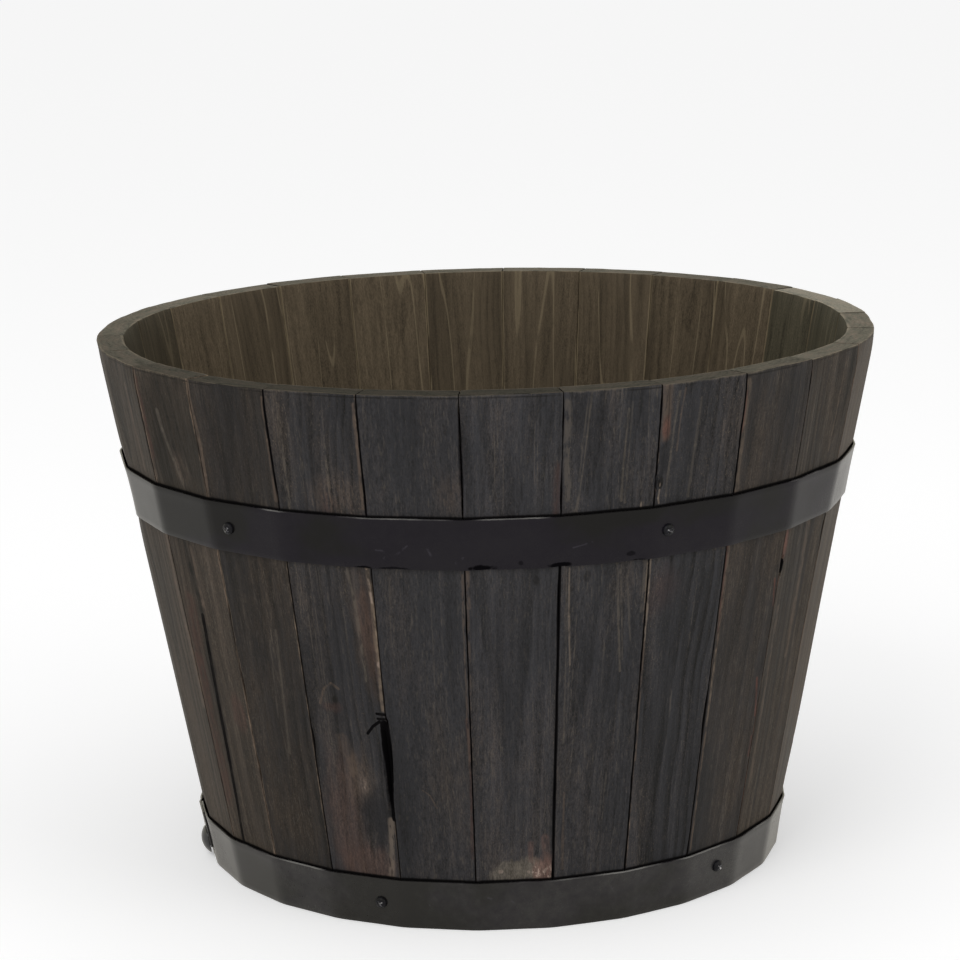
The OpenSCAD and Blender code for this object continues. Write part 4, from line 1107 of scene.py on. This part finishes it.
def carriedCopy(node):
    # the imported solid's faces, merged into whole flat ones
    bm = bmesh.new()
    bm.from_mesh(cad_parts[node].data)
    bmesh.ops.remove_doubles(bm, verts=bm.verts[:], dist=1e-6)
    bmesh.ops.dissolve_limit(bm, angle_limit=math.radians(0.5), verts=bm.verts[:], edges=bm.edges[:])
    return bm


def plank(node, name, along, ease, number, pickEdge):
    bm = carriedCopy(node)
    picked = [e for e in bm.edges
              if len(e.link_faces) == 2 and e.calc_face_angle(0) > math.radians(40) and pickEdge(e)]
    rounded(bm, picked, ease)
    low = Vector(map(min, *[v.co for v in bm.verts]))
    high = Vector(map(max, *[v.co for v in bm.verts]))
    for axis in (0, 1):
        at = low[axis] + base["grid"]
        while at < high[axis] - base["grid"] / 2:
            normal = Vector((0, 0, 0))
            normal[axis] = 1
            sliceAt(bm, normal * at, normal)
            at += base["grid"]
    layers = {n: bm.verts.layers.float_vector.new(n) for n in woodLayers}
    middle = (low + high) / 2
    side = 1 - along
    seed = 50 + number * 2.3
    for v in bm.verts:
        p = v.co
        v[layers["board"]] = (p[side] - middle[side], high.z - p.z, p[along])
        v[layers["edge"]] = (max(0.0, (high[side] - low[side]) / 2 - abs(p[side] - middle[side])), 0.3, 1.0)
        v[layers["cut"]] = (0.06 * wobble(seed, 1, 1), 0.05 + 0.05 * abs(wobble(seed, 2, 5)), seed)
        v[layers["tone"]] = (1.0, 0.6, 1.0)
        v[layers["seam"]] = (0.8, 0.0, 0.0)
        v[layers["ends"]] = (1.0, 1.0, 1.0)
    for v in bm.verts:
        if v.co.z > high.z - 0.0001:
            v.co.z -= base["sway"] * (0.5 + 0.5 * wobble(v.co.x * 12, v.co.y * 40, seed))
    return addPiece(bm, name, boardMaterial, [node], 30)


boardMaterial = stainedWood("baseWood", upright=False)
for i in range(5):
    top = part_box("base_board_3")[1].z

    def longTop(e):
        a, b = (v.co for v in e.verts)
        straight = abs(a.y - b.y) < 1e-5 and abs(a.x - b.x) > 0.01
        hole = (a - b).length < 0.002 and min(abs(a.x - h) for h in base["holes"]) < base["holeReach"]
        return min(a.z, b.z) > top - 1e-5 and (straight or hole)
    plank(f"base_board_{i + 1}", f"baseBoard_{i + 1}", 0, base["ease"], i, longTop)
for i, side in enumerate(("left", "right")):
    plank(f"base_batten_{side}", "baseBatten_" + side, 1, base["battenEase"], i + 8,
          lambda e: e.calc_length() > 0.011)
print("base made")

# floor, light and camera
studio = {"floorHalf": 30.0, "around": 0.72, "mirrored": (1.0, 0.955, 0.78, 1), "keyPower": 24.0, "fillPower": 9.0}
bm = bmesh.new()
bmesh.ops.create_grid(bm, x_segments=1, y_segments=1, size=studio["floorHalf"])
floor = linked("studioFloor", meshOf(bm, "studioFloor"))


def seenDirectly(g):
    # the camera sees the backdrop as white, mirrors and glass as a little warmer
    rays = g.add("LightPath", {}, {}, "Is Camera Ray")
    others = [rays.out("Is Glossy Ray"), rays.out("Is Transmission Ray")]
    mirrored = g.add("Math", {"operation": "ADD", "use_clamp": True}, others)
    return rays, mirrored


floorMaterial, g, shader = newMaterial("floorPaint", {"Base Color": (0.86, 0.86, 0.86, 1), "Roughness": 0.9,
                                                     "Specular IOR Level": 0.0, "Emission Strength": 1.0})
direct, mirrored = seenDirectly(g)
lifted = g.mix(g.mix((0, 0, 0, 1), (0.30, 0.275, 0.22, 1), mirrored), (0.30, 0.30, 0.30, 1), direct)
feed(g, shader, Emission_Color=lifted)
floor.data.materials.append(floorMaterial)

world = bpy.data.worlds.new("studioWorld")
scene.world = world
world.use_nodes = True
world.cycles.sampling_method = "NONE"
g = Graph(world.node_tree)
background = world.node_tree.nodes["Background"]
around = studio["around"]
direct, mirrored = seenDirectly(g)
tint = g.mix(g.mix((around, around, around, 1), studio["mirrored"], mirrored), (1, 1, 1, 1), direct)
world.node_tree.links.new(tint.socket, background.inputs["Color"])


def addLamp(name, place, target, size, power):
    data = bpy.data.lights.new(name, "AREA")
    data.shape, data.size, data.size_y, data.energy = "RECTANGLE", size[0], size[1], power
    lamp = linked(name, data)
    aim = (Vector(target) - Vector(place)).to_track_quat("-Z", "Y")
    lamp.matrix_world = Matrix.Translation(place) @ aim.to_matrix().to_4x4()


addLamp("keyLamp", (-1.1, -2.2, 2.4), (0, 0, 0.2), (1.8, 1.8), studio["keyPower"])
addLamp("fillLamp", (1.9, -1.4, 1.5), (0, 0, 0.2), (1.5, 1.5), studio["fillPower"])

view = {
    "lens": 116.1,
    "place": (0.0, -2.4076, 0.8153),
    "right": (0.999774, -0.002288, -0.021120),
    "up": (0.021125, 0.211997, 0.977042),
    "ahead": (-0.002242, 0.977268, -0.211998),
}
cameraData = bpy.data.cameras.new("viewCamera")
cameraData.lens, cameraData.sensor_width, cameraData.clip_end = view["lens"], 36.0, 100.0
camera = linked("viewCamera", cameraData)
axes = Matrix((view["right"], view["up"], -Vector(view["ahead"]))).transposed()
camera.matrix_world = Matrix.Translation(view["place"]) @ axes.to_4x4()
scene.camera = camera
scene.view_settings.view_transform = "Standard"
print("studio made")
